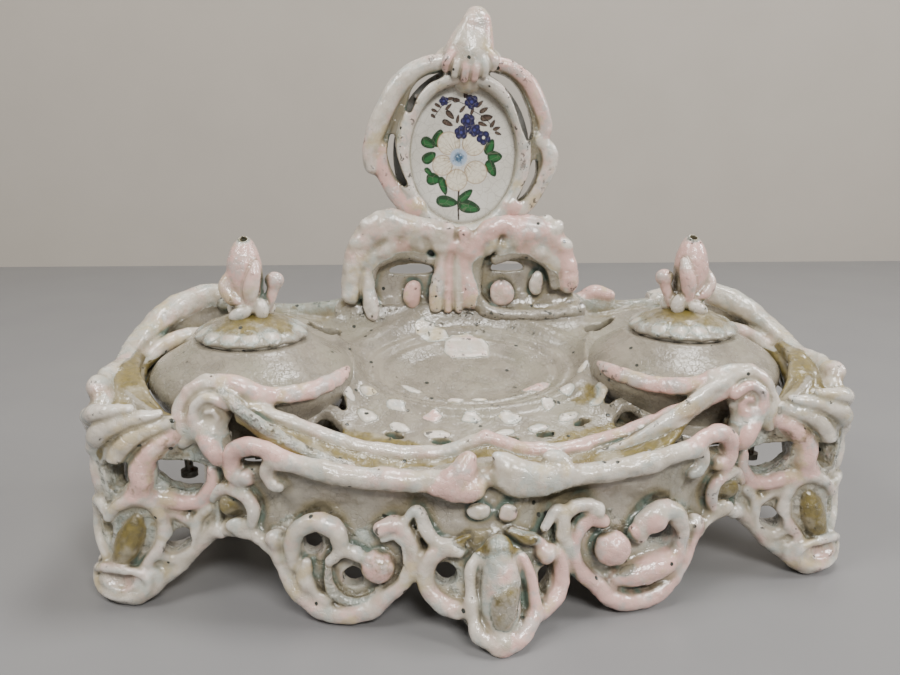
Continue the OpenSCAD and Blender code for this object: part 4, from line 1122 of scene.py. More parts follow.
def make_crest():
    f = Field((-14, 43, 170), (20, 70, 210), 0.42)
    lean = [[1.4, 56, 180, 7.0], [1.4, 55.5, 186, 9.6], [2.0, 55.5, 190, 9.4], [3.6, 55.8, 195, 7.4],
        [4.6, 56, 199.6, 6.2], [4.8, 56, 202, 5.0]]
    f.add(Tube(lean), CREAM, 1.0)
    f.add(Tube([[-5, 51.4, 188, 2.8], [-2.0, 51.6, 194, 2.6], [1.4, 51.6, 200.6, 2.2]]), CREAM, 1.8)
    f.add(Tube([[8.0, 51.6, 188, 2.8], [8.0, 52, 194, 2.4], [7.2, 52.2, 201, 2.0]]), PINK, 1.8)
    for i, (x, top, low) in enumerate(((-8.0, 188, 182.6), (-4.4, 186.6, 180.4), (-0.6, 186, 179.0),
            (3.4, 186, 179.2), (7.2, 187, 180.6), (10.8, 188, 183.4))):
        f.add(Tube([[x * 0.8 + 1, 48.8, top, 1.9], [x + 0.4, 47.8, (top + low) / 2, 2.2],
            [x, 48.8, low, 1.8]]), (PINK, CREAM, (1, 0, 0.8))[i % 3], 0.35)
    f.add(Tube([[-8.6, 54, 184, 2.6], [-9.0, 57, 187, 3.0], [-5, 61.5, 189, 3.2], [2, 64, 189, 3.4],
        [9, 62, 189, 3.2], [12.4, 57.5, 187.4, 3.0], [12.8, 54, 185, 2.4]]), CREAM, 1.2)
    casting("crest_bud", f, paint_material("paint_crest", 43), "stand", ["crest_finial"],
        0.15, 5.0)


# ------------------------------------------------------------------ lids, finials, pots
def make_lid(side, word, seed):
    cx, cy = side * well[0], well[1]
    lo, hi = node_box(f"{word}_lid")
    base, top = lo[2], hi[2]
    f = Field((cx - LID_R - 1.5, cy - LID_R - 1.5, base - 1), (cx + LID_R + 1.5, cy + LID_R + 1.5,
        top + 2), 0.4)

    def scallop(angle, radius):
        return 0.40 * np.cos(15 * angle + seed) * smooth_step(LID_R * 0.6, LID_R, radius)

    r = LID_R - 0.4
    profile = np.vstack([spline([[r - 2.2, base], [r - 0.3, base + 1.0], [r, base + 2.0],
        [r - 1.4, base + 3.4], [r - 4.6, base + 5.0], [r * 0.62, base + 7.0], [r * 0.42, base + 8.6],
        [r * 0.28, top - 0.4]], 5), [[1.8, top - 0.2], [1.8, top - 3.0], [r * 0.3, top - 4.2],
        [r * 0.62, base + 3.6], [r - 4.6, base + 2.0], [r - 5, base]]])
    f.add(Lathe(cx, cy, profile, scallop, 1.0), GREY, 0.4)
    rng = np.random.default_rng(seed)
    n = 15
    for i in range(n):
        a = 2 * math.pi * (i - seed / (2 * math.pi)) / n
        x, y = cx + (LID_R - 5.2) * math.cos(a), cy + (LID_R - 5.2) * math.sin(a)
        f.add(Blob((x, y, base + 3.5), (5.4, 4.0, 2.2), (0, 24, math.degrees(a))), (WHITE, CREAM,
            (0.6, 0.3, 0.2))[int(rng.random() * 3)], 0.25)
    f.tint(Lathe(cx, cy, [[0, base + 5.2], [LID_R * 0.80, base + 5.2], [LID_R * 0.3, top + 2],
        [0, top + 2]]), (0.1, 0.85, 0), 2.4)
    casting(f"{word}_lid_casting", f, paint_material(f"paint_lid_{word}", 50 + seed), f"{word}_lid",
        [f"{word}_lid"], 0.10, 4.0)


def make_finial(side, word):
    cx, cy = side * well[0], well[1]
    lo, hi = node_box(f"{word}_lid_finial")
    base, tip = hi[2] - 28.5, hi[2]
    f = Field((cx - 14, cy - 10.5, lo[2] - 1), (cx + 14, cy + 10.5, tip + 1.2), 0.36)
    o = side                                    # outward direction

    def near(rows):
        """Rows of outward, y, z, radius from the bud's axis and base, in the frame."""
        return [[cx + dx * o, cy + dy, base + dz, r] for dx, dy, dz, r in rows]

    f.add(Lathe(cx, cy, [[0, lo[2] + 0.6], [1.6, lo[2] + 0.6], [1.6, base - 2], [0, base - 2]]), GREY,
        0.3)
    f.add(Tube(near([[0, 0, -2, 4.6], [0, 0, 2, 5.2]])), WHITE, 1.2)
    f.add(Tube(near([[0.2, 0, 3, 5.2], [0.8, 0, 9, 6.0], [1.4, -0.3, 15, 6.5], [1.5, 0, 20, 5.8],
        [1.2, 0.2, 24.6, 3.6], [1.2, 0, 26.4, 2.2]])), PINK, 1.0)
    # petal in front of the bud, lip of the bud, curled leaf outside, ball on a stem inside
    f.add(Tube(near([[-0.8, -5.4, 5, 2.4], [-1.4, -6.2, 10.5, 3.0], [-2.6, -5.8, 15, 2.6],
        [-3.4, -5.0, 19, 1.4]])), (1, 0, 0.75), 0.25)
    f.add(Tube(near([[3.4, -3.0, 12, 2.0], [4.0, -2.4, 17, 2.2], [2.6, -1.6, 22, 1.6]])), CREAM, 0.8)
    f.add(Tube(near([[2.5, -4.4, 4.2, 2.2], [6.0, -4.0, 6.2, 2.7], [8.4, -3.0, 9.8, 2.6],
        [6.8, -1.8, 13, 2.6], [3.4, -1.4, 15, 2.2]])), (1, 0, 0.7), 0.6)
    f.add(Blob((cx + 6.0 * o, cy - 1.6, base + 9.6), (3.0, 2.6, 4.0)), CREAM, 0.8)
    f.add(Tube(near([[-5.4, -1.8, 2.0, 2.4], [-7.4, -1.8, 5.6, 2.2], [-8.6, -1.4, 9.0, 2.3],
        [-9.2, -1.2, 11.8, 2.9]])), (1, 0, 0.8), 0.7)
    f.add(Blob((cx - 9.4 * o, cy - 1.2, base + 12.2), (3.4, 2.9, 3.1)), PINK, 0.5)
    for dx, dy, dz, half, lean in ((2.6, -6.0, 1.0, (5.0, 3.0, 2.7), 24), (-4.2, -5.0, 2.2,
            (3.1, 2.8, 4.2), 12), (-1.0, 5.6, 0.4, (4.2, 2.6, 2.6), 10), (6.0, 1.8, 1.0,
            (2.8, 3.4, 2.8), 0), (-6.4, 1.2, 1.0, (2.6, 3.4, 2.6), 0)):
        f.add(Blob((cx + dx * o, cy + dy, base + dz), half, (0, lean * o, 0)), WHITE, 0.4)
    f.cut(Tube([[cx + 1.2 * o, cy + 0.4, tip - 4.5, 1.2], [cx + 1.2 * o, cy - 2.2, tip + 1.5, 1.4]]),
        0.3, (0.0, 0.25, 0))
    f.add(Tube(near([[0, 3.4, 4, 2.8], [0.6, 4.6, 11, 2.8], [1.4, 3.6, 18, 2.0]])), PINK, 0.4)
    casting(f"{word}_rosebud", f, paint_material(f"paint_bud_{word}", 70 + side), f"{word}_lid",
        [f"{word}_lid_finial"], 0.12, 3.0)


def make_pot(side, word):
    cx, cy = side * well[0], well[1]
    lo, hi = node_box(f"{word}_ink_pot")
    flange = (hi[0] - lo[0]) / 2
    body = flange - 3.0
    z0, z1 = lo[2], hi[2]
    profile = np.vstack([spline([[0, z0 + 1.0], [body - 5, z0 + 1.0], [body - 3.4, z0],
        [body - 1.4, z0 + 0.6], [body, z0 + 3.0], [body, z0 + 9]], 5), spline([[body, z0 + 20],
        [body, z1 - 3.2], [body, z1 - 1.7]], 4), spline([[flange - 0.7, z1 - 1.6], [flange, z1 - 0.8],
        [flange - 0.8, z1]], 5), spline([[body - 1.4, z1], [body - 2.4, z1 - 1.2],
        [body - 2.6, z1 - 8]], 4), spline([[body - 2.6, z0 + 12], [body - 3.2, z0 + 5.4],
        [body - 6, z0 + 3.2], [0, z0 + 3.0]], 5)])
    n = 96
    a = np.linspace(0, 2 * math.pi, n, endpoint=False)
    rings = np.stack([cx + profile[:, :1] * np.cos(a), cy + profile[:, :1] * np.sin(a),
        profile[:, 1:] + 0 * a], -1)
    points = rings.reshape(-1, 3)
    faces = [[i * n + j, i * n + (j + 1) % n, (i + 1) * n + (j + 1) % n,
        (i + 1) * n + j] for i in range(len(profile) - 1) for j in range(n)]
    to_object(f"{word}_glazed_pot", points, faces, glaze_material(), {}, f"{word}_pot",
        [f"{word}_ink_pot"])


# ------------------------------------------------------------------ materials
def rgb(code):
    """Linear colour from a hexadecimal screen colour."""
    out = []
    for i in (0, 2, 4):
        v = int(code[i:i + 2], 16) / 255
        out.append(v / 12.92 if v <= 0.04045 else ((v + 0.055) / 1.055) ** 2.4)
    return (*out, 1.0)


class Graph:
    """Small helper that builds a node material; numbers or sockets can feed any input."""

    def __init__(self, name):
        self.material = bpy.data.materials.new(name)
        self.material.use_nodes = True
        self.tree = self.material.node_tree
        self.tree.nodes.clear()
        self.out = self.tree.nodes.new("ShaderNodeOutputMaterial")
        self.shader = self.tree.nodes.new("ShaderNodeBsdfPrincipled")
        self.tree.links.new(self.shader.outputs[0], self.out.inputs[0])
        self.coords = self.tree.nodes.new("ShaderNodeTexCoord").outputs["Object"]

    def feed(self, socket, value):
        if isinstance(value, bpy.types.NodeSocket):
            self.tree.links.new(value, socket)
        else:
            socket.default_value = value

    def math(self, operation, a, b=0.0, clamp=False):
        node = self.tree.nodes.new("ShaderNodeMath")
        node.operation, node.use_clamp = operation, clamp
        self.feed(node.inputs[0], a)
        self.feed(node.inputs[1], b)
        return node.outputs[0]

    def mul(self, a, b):
        return self.math("MULTIPLY", a, b)

    def plus(self, a, b):
        return self.math("ADD", a, b)

    def minus(self, a, b):
        return self.math("SUBTRACT", a, b)

    def wash(self, colour, zone, amount, code):
        """Lay a thin coat of the coloured paint over colour where zone is high."""
        return self.mix(self.mul(zone, amount), colour, rgb(code))

    def ramp(self, value, low, high, to_low=0.0, to_high=1.0):
        node = self.tree.nodes.new("ShaderNodeMapRange")
        node.interpolation_type = "SMOOTHSTEP"
        self.feed(node.inputs["Value"], value)
        flip = low > high
        node.inputs["From Min"].default_value = high if flip else low
        node.inputs["From Max"].default_value = low if flip else high
        node.inputs["To Min"].default_value = to_high if flip else to_low
        node.inputs["To Max"].default_value = to_low if flip else to_high
        return node.outputs["Result"]

    def mix(self, factor, a, b):
        node = self.tree.nodes.new("ShaderNodeMix")
        node.data_type = "RGBA"
        self.feed(node.inputs[0], factor)
        self.feed(node.inputs[6], a)
        self.feed(node.inputs[7], b)
        return node.outputs[2]

    def shifted(self, seed):
        node = self.tree.nodes.new("ShaderNodeVectorMath")
        node.operation = "ADD"
        self.tree.links.new(self.coords, node.inputs[0])
        node.inputs[1].default_value = (0.131 * seed, 0.077 * seed, 0.053 * seed)
        return node.outputs[0]

    def noise(self, size, seed=0, detail=2.0, rough=0.5, distort=0.0):
        """Noise whose blotches are about size millimetres."""
        node = self.tree.nodes.new("ShaderNodeTexNoise")
        self.tree.links.new(self.shifted(seed), node.inputs["Vector"])
        node.inputs["Scale"].default_value = 1000 / size
        node.inputs["Detail"].default_value = detail
        node.inputs["Roughness"].default_value = rough
        node.inputs["Distortion"].default_value = distort
        return node.outputs["Fac"]

    def cells(self, size, seed=0, feature="F1", warp=0.0):
        node = self.tree.nodes.new("ShaderNodeTexVoronoi")
        node.feature = feature
        vector = self.shifted(seed)
        if warp:
            wobble = self.tree.nodes.new("ShaderNodeTexNoise")
            self.tree.links.new(self.coords, wobble.inputs["Vector"])
            wobble.inputs["Scale"].default_value = 600 / size
            scaled = self.tree.nodes.new("ShaderNodeVectorMath")
            scaled.operation = "MULTIPLY_ADD"
            self.tree.links.new(wobble.outputs["Color"], scaled.inputs[0])
            scaled.inputs[1].default_value = (warp * MM,) * 3
            self.tree.links.new(vector, scaled.inputs[2])
            vector = scaled.outputs[0]
        self.tree.links.new(vector, node.inputs["Vector"])
        node.inputs["Scale"].default_value = 1000 / size
        return node.outputs["Distance"]

    def attribute(self, name, kind="Fac"):
        node = self.tree.nodes.new("ShaderNodeAttribute")
        node.attribute_name = name
        return node.outputs[kind]

    def bump(self, height, distance, before=None, strength=1.0):
        node = self.tree.nodes.new("ShaderNodeBump")
        node.inputs["Strength"].default_value = strength
        node.inputs["Distance"].default_value = distance * MM
        self.feed(node.inputs["Height"], height)
        if before is not None:
            self.tree.links.new(before, node.inputs["Normal"])
        return node.outputs[0]

    def finish(self, colour, roughness, normal=None, coat=0.0, coat_roughness=0.05, metallic=0.0,
               specular=0.5):
        self.feed(self.shader.inputs["Base Color"], colour)
        self.feed(self.shader.inputs["Roughness"], roughness)
        self.shader.inputs["Metallic"].default_value = metallic
        self.shader.inputs["Specular IOR Level"].default_value = specular
        self.shader.inputs["Coat Weight"].default_value = coat
        self.shader.inputs["Coat Roughness"].default_value = coat_roughness
        if normal is not None:
            self.tree.links.new(normal, self.shader.inputs["Normal"])
            if coat:
                self.tree.links.new(normal, self.shader.inputs["Coat Normal"])
        return self.material


def paint_material(name, seed, grey_only=False):
    """Old glossy household paint: warm grey fields, cream and pink relief, ochre hollows, with grime
    and painted shade in the creases and a painted highlight on the ridges.
    """
    g = Graph(name)
    cream, ochre, pink, bulge, shade = (g.attribute(k) for k in
                                        ("cream", "ochre", "pink", "bulge", "shade"))
    ragged = g.noise(2.6, seed, 4.0, 0.6, 0.4)
    brush = g.noise(7.0, seed + 3, 3.0, 0.55)
    fine = g.noise(0.9, seed + 5, 3.0, 0.6)
    broad = g.noise(22.0, seed + 9, 2.0)
    patch = g.noise(11.0, seed + 13, 3.0, 0.55)

    def spread(value, amount):
        return g.mul(g.minus(value, 0.5), amount)

    calm = 0.5 if grey_only else 1.0
    level = g.plus(cream, g.plus(spread(ragged, 1.0 * calm), spread(brush, 0.7 * calm)))
    raised = g.ramp(level, 0.40, 0.54)
    fringe = g.mul(g.ramp(level, 0.20, 0.44), g.minus(1.0, g.ramp(level, 0.50, 0.90)))

    # the tray and domes get a darker grey than the other castings, which pulls down how bright their
    # upward faces catch the overhead lamps: painted shade
    tones = ("7F786B", "928A7B") if grey_only else ("90897C", "A39B8D")
    grey = g.mix(g.ramp(brush, 0.3, 0.7), rgb(tones[0]), rgb(tones[1]))
    grey = g.wash(grey, g.ramp(broad, 0.42, 0.7), 0.6, "8F8B78")
    cracks = g.ramp(g.cells(2.2, seed, "DISTANCE_TO_EDGE", 1.2), 0.06, 0.0)
    crack_zone = g.mul(cracks, g.ramp(g.noise(16, seed + 11), 0.36, 0.56))
    grey = g.wash(grey, crack_zone, 0.4, "5E584E")

    white = g.mix(g.ramp(brush, 0.35, 0.65), rgb("D0C7B9"), rgb("B9AE9C"))
    # paler cream on convex ridges: a painted highlight
    white = g.mix(g.ramp(bulge, 0.06, 0.26, 0.0, 0.6), white, rgb("E4DDD3"))
    warm = g.plus(pink, spread(patch, 2.2))
    white = g.wash(white, g.ramp(warm, 0.2, 0.95), 0.95, "DBB0A6")
    cool = g.ramp(g.noise(8.0, seed + 29, 3.0, 0.6), 0.50, 0.66)
    white = g.wash(white, cool, 0.55, "A9B5B0")
    yellow = g.ramp(g.noise(13.0, seed + 31, 3.0, 0.6), 0.55, 0.68)
    white = g.wash(white, yellow, 0.75, "C2B088")
    white = g.wash(white, g.ramp(fine, 0.54, 0.70), 0.25, "B5AB96")
    colour = g.mix(raised, grey, white)
    colour = g.mix(g.mul(fringe, g.ramp(broad, 0.35, 0.62, 0.15, 0.6)), colour, rgb("93A39C"))

    # shade says how closely other surfaces crowd a point; the olive and dark washes below darken
    # creases and hollows with it: grime and painted shade together
    hollow = g.ramp(shade, 0.30, 0.70)
    basin_grime_and_shade = g.ramp(shade, 0.03, 0.36)
    mellow = g.plus(ochre, g.plus(spread(brush, 1.1), spread(ragged, 0.6)))
    gold = g.mix(g.ramp(ragged, 0.35, 0.7), rgb("766729"), rgb("5B4F22"))
    gold = g.mix(g.ramp(patch, 0.52, 0.7), gold, rgb("9A9178"))
    gold_zone = g.mul(g.ramp(mellow, 0.30, 0.62), 0.94)
    colour = g.mix(gold_zone, colour, gold)
    colour = g.mix(g.mul(basin_grime_and_shade, g.ramp(patch, 0.35, 0.6, 0.35, 0.85)), colour, rgb("857B60"))
    colour = g.mix(g.mul(hollow, g.ramp(ragged, 0.3, 0.65, 0.45, 0.9)), colour, rgb("504A3A"))
    # green-grey stain in the most crowded hollows, darker: stain and painted shade together
    tint = g.mul(hollow, g.ramp(g.noise(9, seed + 17), 0.48, 0.60, 0.0, 0.75))
    colour = g.mix(tint, colour, rgb("5E7268"))

    # small chips down to old green-black paint, mostly on raised edges
    speck = g.cells(8.0, seed + 19)
    chip = g.mul(g.ramp(g.plus(speck, g.mul(ragged, 0.16)), 0.185, 0.165),
        g.ramp(g.noise(13, seed + 23), 0.41, 0.46))
    edge_chip = g.mul(g.ramp(bulge, 0.14, 0.24), g.mul(g.ramp(ragged, 0.58, 0.61),
        g.ramp(patch, 0.47, 0.55)))
    chips = g.math("MAXIMUM", chip, g.mul(edge_chip, 0.85))
    colour = g.mix(chips, colour, rgb("2A2F27"))

    height = g.plus(g.mul(g.ramp(level, 0.34, 0.60), 0.7), g.mul(brush, 0.9))
    height = g.plus(height, g.mul(ragged, 0.5))
    height = g.minus(height, g.mul(chips, 1.1))
    normal = g.bump(height, 0.45)
    normal = g.bump(g.minus(g.mul(fine, 0.8), g.mul(crack_zone, 1.0)), 0.07, normal)
    rough = g.plus(g.ramp(brush, 0.2, 0.8, 0.20, 0.36), g.mul(gold_zone, 0.12))
    rough = g.plus(rough, g.mul(chips, 0.3))
    return g.finish(colour, rough, normal, coat=0.45 if grey_only else 1.0, coat_roughness=0.03)


def glaze_material():
    """White glazed stoneware with a dried ink stain inside."""
    if "pot_glaze_white" in bpy.data.materials:
        return bpy.data.materials["pot_glaze_white"]
    g = Graph("pot_glaze_white")
    cloud = g.noise(9, 2, 3.0)
    craze = g.ramp(g.cells(3.0, 4, "DISTANCE_TO_EDGE", 1.0), 0.04, 0.0)
    colour = g.mix(g.ramp(cloud, 0.3, 0.7), rgb("EDE9DF"), rgb("DDD8CB"))
    colour = g.wash(colour, craze, 0.3, "A79F8E")
    spot = g.ramp(g.cells(11.0, 6), 0.07, 0.05)
    colour = g.mix(spot, colour, rgb("2B2E45"))
    return g.finish(colour, g.ramp(cloud, 0.2, 0.8, 0.08, 0.18), g.bump(cloud, 0.05), coat=0.4)


def steel_material():
    g = Graph("screw_steel")
    scratch = g.noise(0.5, 1, 4.0, 0.7)
    rust = g.ramp(g.noise(2.4, 3, 4.0, 0.65), 0.5, 0.68)
    colour = g.mix(rust, rgb("A09C94"), rgb("7C5E48"))
    return g.finish(colour, g.ramp(scratch, 0.2, 0.8, 0.28, 0.5), g.bump(scratch, 0.04), metallic=0.65)


def card_material():
    g = Graph("backing_board")
    fibre = g.noise(0.7, 1, 5.0, 0.7)
    colour = g.mix(g.ramp(fibre, 0.3, 0.7), rgb("9C8460"), rgb("84704F"))
    return g.finish(colour, 0.85, g.bump(fibre, 0.08))


def tin_material():
    g = Graph("cover_tinplate")
    grain = g.noise(1.2, 1, 4.0, 0.6)
    blotch = g.ramp(g.noise(9, 2, 4.0, 0.6), 0.45, 0.68)
    colour = g.mix(blotch, rgb("9A9994"), rgb("6F6A60"))
    colour = g.mix(g.ramp(g.noise(3.2, 5, 4.0, 0.7), 0.62, 0.7), colour, rgb("6A4B35"))
    return g.finish(colour, g.ramp(grain, 0.2, 0.8, 0.3, 0.55), g.bump(grain, 0.05), metallic=0.85)


def porcelain_material():
    """White crackled porcelain that carries the painted flowers of the face."""
    g = Graph("plaque_painting")
    craze = g.ramp(g.cells(3.4, 3, "DISTANCE_TO_EDGE", 1.4), 0.045, 0.0)
    fine = g.ramp(g.cells(1.5, 9, "DISTANCE_TO_EDGE", 0.8), 0.05, 0.0)
    cloud = g.noise(12, 5, 3.0)
    ground = g.mix(g.ramp(cloud, 0.3, 0.7), rgb("DEDBD2"), rgb("D2CEC3"))
    painted = g.mix(g.attribute("cover"), ground, g.attribute("picture", "Color"))
    craze_all = g.plus(g.mul(craze, 0.34), g.mul(g.mul(fine, g.ramp(cloud, 0.4, 0.6)), 0.2))
    painted = g.mix(craze_all, painted, rgb("8B8374"))
    painted = g.mix(g.attribute("grime"), painted, rgb("8A7C5C"))
    normal = g.bump(g.plus(g.mul(g.attribute("cover"), 0.6), g.mul(cloud, 0.5)), 0.10)
    return g.finish(painted, g.ramp(cloud, 0.2, 0.8, 0.07, 0.15), normal, coat=0.2, specular=0.35)


# ------------------------------------------------------------------ plaque and its painting
LEAF_DARK, LEAF_LIGHT = rgb("0E3A1C"), rgb("1F6331")
BLUE_DARK, BLUE_LIGHT = rgb("14123F"), rgb("3B3F86")
SPRIG = rgb("2A1C16")
PETAL, PETAL_LINE, PETAL_SHADE = rgb("E6DECB"), rgb("8A6224"), rgb("BFAE8C")
EYE_PALE, EYE_DARK = rgb("A9BCD2"), rgb("3F5F78")


class Painting:
    """Flat picture built up by overlapping strokes on points u, v in mm."""

    def __init__(self, u, v):
        self.u, self.v = u, v
        self.colour = np.zeros((len(u), 4)) + (0.8, 0.8, 0.8, 1)
        self.cover = np.zeros(len(u))

    def lay(self, mask, colour):
        mask = np.clip(mask, 0, 1)
        self.colour += (np.array(colour) - self.colour) * mask[:, None]
        self.cover = np.maximum(self.cover, mask)

    def local(self, cu, cv, turn):
        c, s = math.cos(math.radians(turn)), math.sin(math.radians(turn))
        du, dv = self.u - cu, self.v - cv
        return du * c + dv * s, -du * s + dv * c

    def leaf(self, cu, cv, length, width, turn, dark, light, soft=0.25, wave=0.0):
        a, b = self.local(cu, cv, turn)
        t = np.clip(a / length, -1, 1)
        half = width * np.sqrt(np.maximum(1 - t ** 2, 0)) * (1 - 0.25 * t)
        d = np.maximum(np.abs(b) - half, np.abs(a) - length)
        d = d + wave * np.sin(a * 5)
        self.lay(0.5 - d / soft, dark)
        inner = np.maximum(np.abs(b + 0.15 * width) - half * 0.45, np.abs(a) - length * 0.7)
        self.lay((0.5 - inner / 0.4) * 0.75, light)

    def disc(self, cu, cv, r, colour, soft=0.3, strength=1.0):
        d = np.hypot(self.u - cu, self.v - cv) - r
        self.lay((0.5 - d / soft) * strength, colour)

    def line(self, points, width, colour, strength=1.0):
        for a, b in zip(points[:-1], points[1:]):
            a, b = np.array(a, float), np.array(b, float)
            e = b - a
            t = np.clip(((self.u - a[0]) * e[0] + (self.v - a[1]) * e[1]) / (e @ e), 0, 1)
            d = np.hypot(self.u - a[0] - t * e[0], self.v - a[1] - t * e[1]) - width
            self.lay((0.5 - d / 0.25) * strength, colour)


def paint_flowers(u, v):
    p = Painting(u, v)
    p.line([(-1.5, -13.5), (-1.9, -19), (-1.5, -26.6)], 0.45, SPRIG)
    for cu, cv, length, width, turn in ((-6.6, -19.2, 4.2, 1.9, -8), (3.0, -21.4, 4.4, 2.1, -14),
            (1.2, -16.8, 3.6, 1.4, 42), (-10.4, 6.8, 3.4, 1.8, 70), (-14.6, 4.8, 2.9, 1.7, -30),
            (-14.2, -1.0, 3.0, 1.7, 35), (11.2, 3.4, 3.2, 1.5, 68), (13.4, -0.6, 2.9, 1.9, 4),
            (12.0, -5.4, 3.4, 1.6, -62), (-12.4, -9.8, 2.7, 2.0, -4), (-8.2, -12.6, 3.6, 1.3, -72),
            (-14.4, -6.8, 2.0, 0.9, -45)):
        p.leaf(cu, cv, length * 1.12, width * 1.35, turn, LEAF_DARK, LEAF_LIGHT)
    for cu, cv, length, width, turn in ((-5.6, 16.2, 1.9, 0.8, -45), (-6.6, 12.9, 2.0, 0.8, -25),
            (-0.4, 18.6, 1.6, 0.5, 50), (0.8, 24.6, 1.6, 0.6, 80), (6.6, 20.6, 1.7, 0.6, 42),
            (8.4, 18.2, 1.7, 0.7, 30), (9.6, 15.2, 2.2, 1.0, 8), (8.0, 12.6, 1.7, 0.6, -20),
            (12.2, 12.8, 1.5, 0.6, 60), (13.9, 10.9, 1.4, 0.6, 18), (14.6, 8.9, 1.3, 0.5, -20),
            (-12.5, 15.6, 1.0, 0.5, -40), (-12.0, 17.8, 1.2, 0.5, -20), (-10.6, 19.8, 1.3, 0.5, -30),
            (-5.4, 22.6, 1.4, 0.5, 10), (-6.2, 19.4, 1.5, 0.5, 45), (-3.0, 22.0, 1.3, 0.7, 0),
            (3.6, 17.8, 1.4, 0.5, 70), (-2.4, 14.6, 1.5, 0.5, 80)):
        p.leaf(cu, cv, length * 1.25, width * 1.5, turn, SPRIG, rgb("57443A"), 0.2)
    p.line([(-12.4, 15), (-8.6, 20), (-4, 22.2), (0.6, 20.4)], 0.22, SPRIG)
    p.line([(4.4, 17.6), (8.4, 15.6), (12.4, 11.6)], 0.22, SPRIG)
    # open flower: five petals with ochre outlines round a pale blue eye
    for cu, cv, r, turn in ((-6.0, 4.8, 4.9, 130), (4.4, 4.6, 5.0, 45), (5.4, -7.0, 5.0, -40),
            (-2.6, -10.2, 4.7, -95), (-8.6, -4.2, 4.4, 190)):
        p.disc(cu, cv, r, PETAL_LINE, 0.4, 0.85)
        p.disc(cu, cv, r - 0.4, PETAL, 0.7)
        for k in range(-3, 4):                          # veins from the eye outwards
            a = math.atan2(cv + 1.0, cu + 1.8) + 0.17 * k
            p.line([(-1.8 + 4 * math.cos(a), -1 + 4 * math.sin(a)),
                (-1.8 + (9.2 - 0.5 * abs(k)) * math.cos(a + 0.03 * k),
                -1 + (9.2 - 0.5 * abs(k)) * math.sin(a + 0.03 * k))], 0.07, PETAL_LINE, 0.6)
        du, dv = u - cu, v - cv
        near_rim = np.exp(-(np.hypot(du, dv) - r + 1.3) ** 2)
        ripple = np.cos(np.arctan2(dv, du) * 9 + turn) * near_rim
        p.lay(np.clip(ripple, 0, 1) * 0.5 * (np.hypot(du, dv) < r - 0.4), PETAL_SHADE)
    for k in range(26):
        a = 2 * math.pi * k / 26 + 0.15 * math.sin(7 * k)
        reach = 5.4 + 1.6 * math.sin(5 * k)
        p.line([(-1.8 + 3.2 * math.cos(a), -1.2 + 3.2 * math.sin(a)), (-1.8 + reach * math.cos(a),
            -1.2 + reach * math.sin(a))], 0.10, PETAL_LINE, 0.75)
    p.disc(-1.8, -1.0, 3.7, EYE_PALE, 0.8)
    p.disc(-1.8, -1.0, 2.0, EYE_DARK, 0.9, 0.8)
    for k in range(13):
        a = 2.4 * k
        p.disc(-1.8 + 0.75 * math.sqrt(k) * math.cos(a), -1.0 + 0.75 * math.sqrt(k) * math.sin(a),
            0.32, EYE_PALE if k % 2 else rgb("6F86A0"), 0.3)
    # forget-me-nots
    for cu, cv, r in ((-0.9, 9.2, 2.7), (1.9, 13.8, 2.9), (4.6, 10.2, 2.6), (8.5, 7.2, 2.8),
            (3.3, 21.4, 2.8), (-8.2, 21.6, 1.9)):
        for k in range(5):
            a = 2 * math.pi * k / 5 + cu
            p.disc(cu + r * 0.55 * math.cos(a), cv + r * 0.55 * math.sin(a), r * 0.56, BLUE_DARK, 0.25)
            p.disc(cu + r * 0.66 * math.cos(a), cv + r * 0.66 * math.sin(a), r * 0.2, BLUE_LIGHT, 0.5,
                0.35)
        p.disc(cu, cv, r * 0.22, rgb("E8E4DA") if cu > 8 else BLUE_LIGHT, 0.25)
    return p


def make_plaque():
    cx, cz = plaque_mid[0], plaque_mid[2]
    a = (plaque_hi[0] - plaque_lo[0]) / 2
    b = (plaque_hi[2] - plaque_lo[2]) / 2
    front, back = plaque_lo[1], plaque_hi[1]
    rings, n = ((140, 400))
    turn = np.linspace(0, 2 * math.pi, n, endpoint=False)
    points = [[cx, front, cz]]
    profile = [(i / rings, front + 0.55 * (i / rings) ** 2) for i in range(1, rings + 1)]
    profile += [(1.0, front + 1.3), (1.0, back - 0.5), (0.985, back)]
    for k, y in profile:
        rim = np.stack([cx + k * a * np.cos(turn), np.full(n, y), cz + k * b * np.sin(turn)], 1)
        points += rim.tolist()
    points.append([cx, back, cz])
    points = np.array(points)
    faces = [[0, 1 + (j + 1) % n, 1 + j] for j in range(n)]
    for i in range(len(profile) - 1):
        o = 1 + i * n
        faces += [[o + j, o + (j + 1) % n, o + n + (j + 1) % n, o + n + j] for j in range(n)]
    last = len(points) - 1
    faces += [[last, last - n + j, last - n + (j + 1) % n] for j in range(n)]
    u, v = points[:, 0] - cx, points[:, 2] - cz
    p = paint_flowers(u, v)
    on_face = points[:, 1] < front + 0.6
    rho = np.hypot(u / (a - 2), v / (b - 2))
    attributes = {"cover": p.cover * on_face * 0.97,
        "grime": smooth_step(0.93, 1.0, rho) * 0.55 * on_face}
    to_object("porcelain_picture", points, faces, porcelain_material(), attributes, "stand",
        ["porcelain_plaque"], {"picture": p.colour})


# ------------------------------------------------------------------ CAD parts that stay
def dress_cad_parts():
    steel, card, tin = steel_material(), card_material(), tin_material()
    kept = {name: steel for name in ("crest_stud", "plaque_cover_screws", "frame_screws",
        "back_plate_screws", "rail_screws", "apron_screws", "wing_screws", "skirt_screws",
        "housing_screws", "left_finial_nut", "right_finial_nut")}
    kept["plaque_backing"] = card
    kept["plaque_back_cover"] = tin
    for name, material in kept.items():
        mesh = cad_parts[name].data
        mesh.materials.clear()
        mesh.materials.append(material)


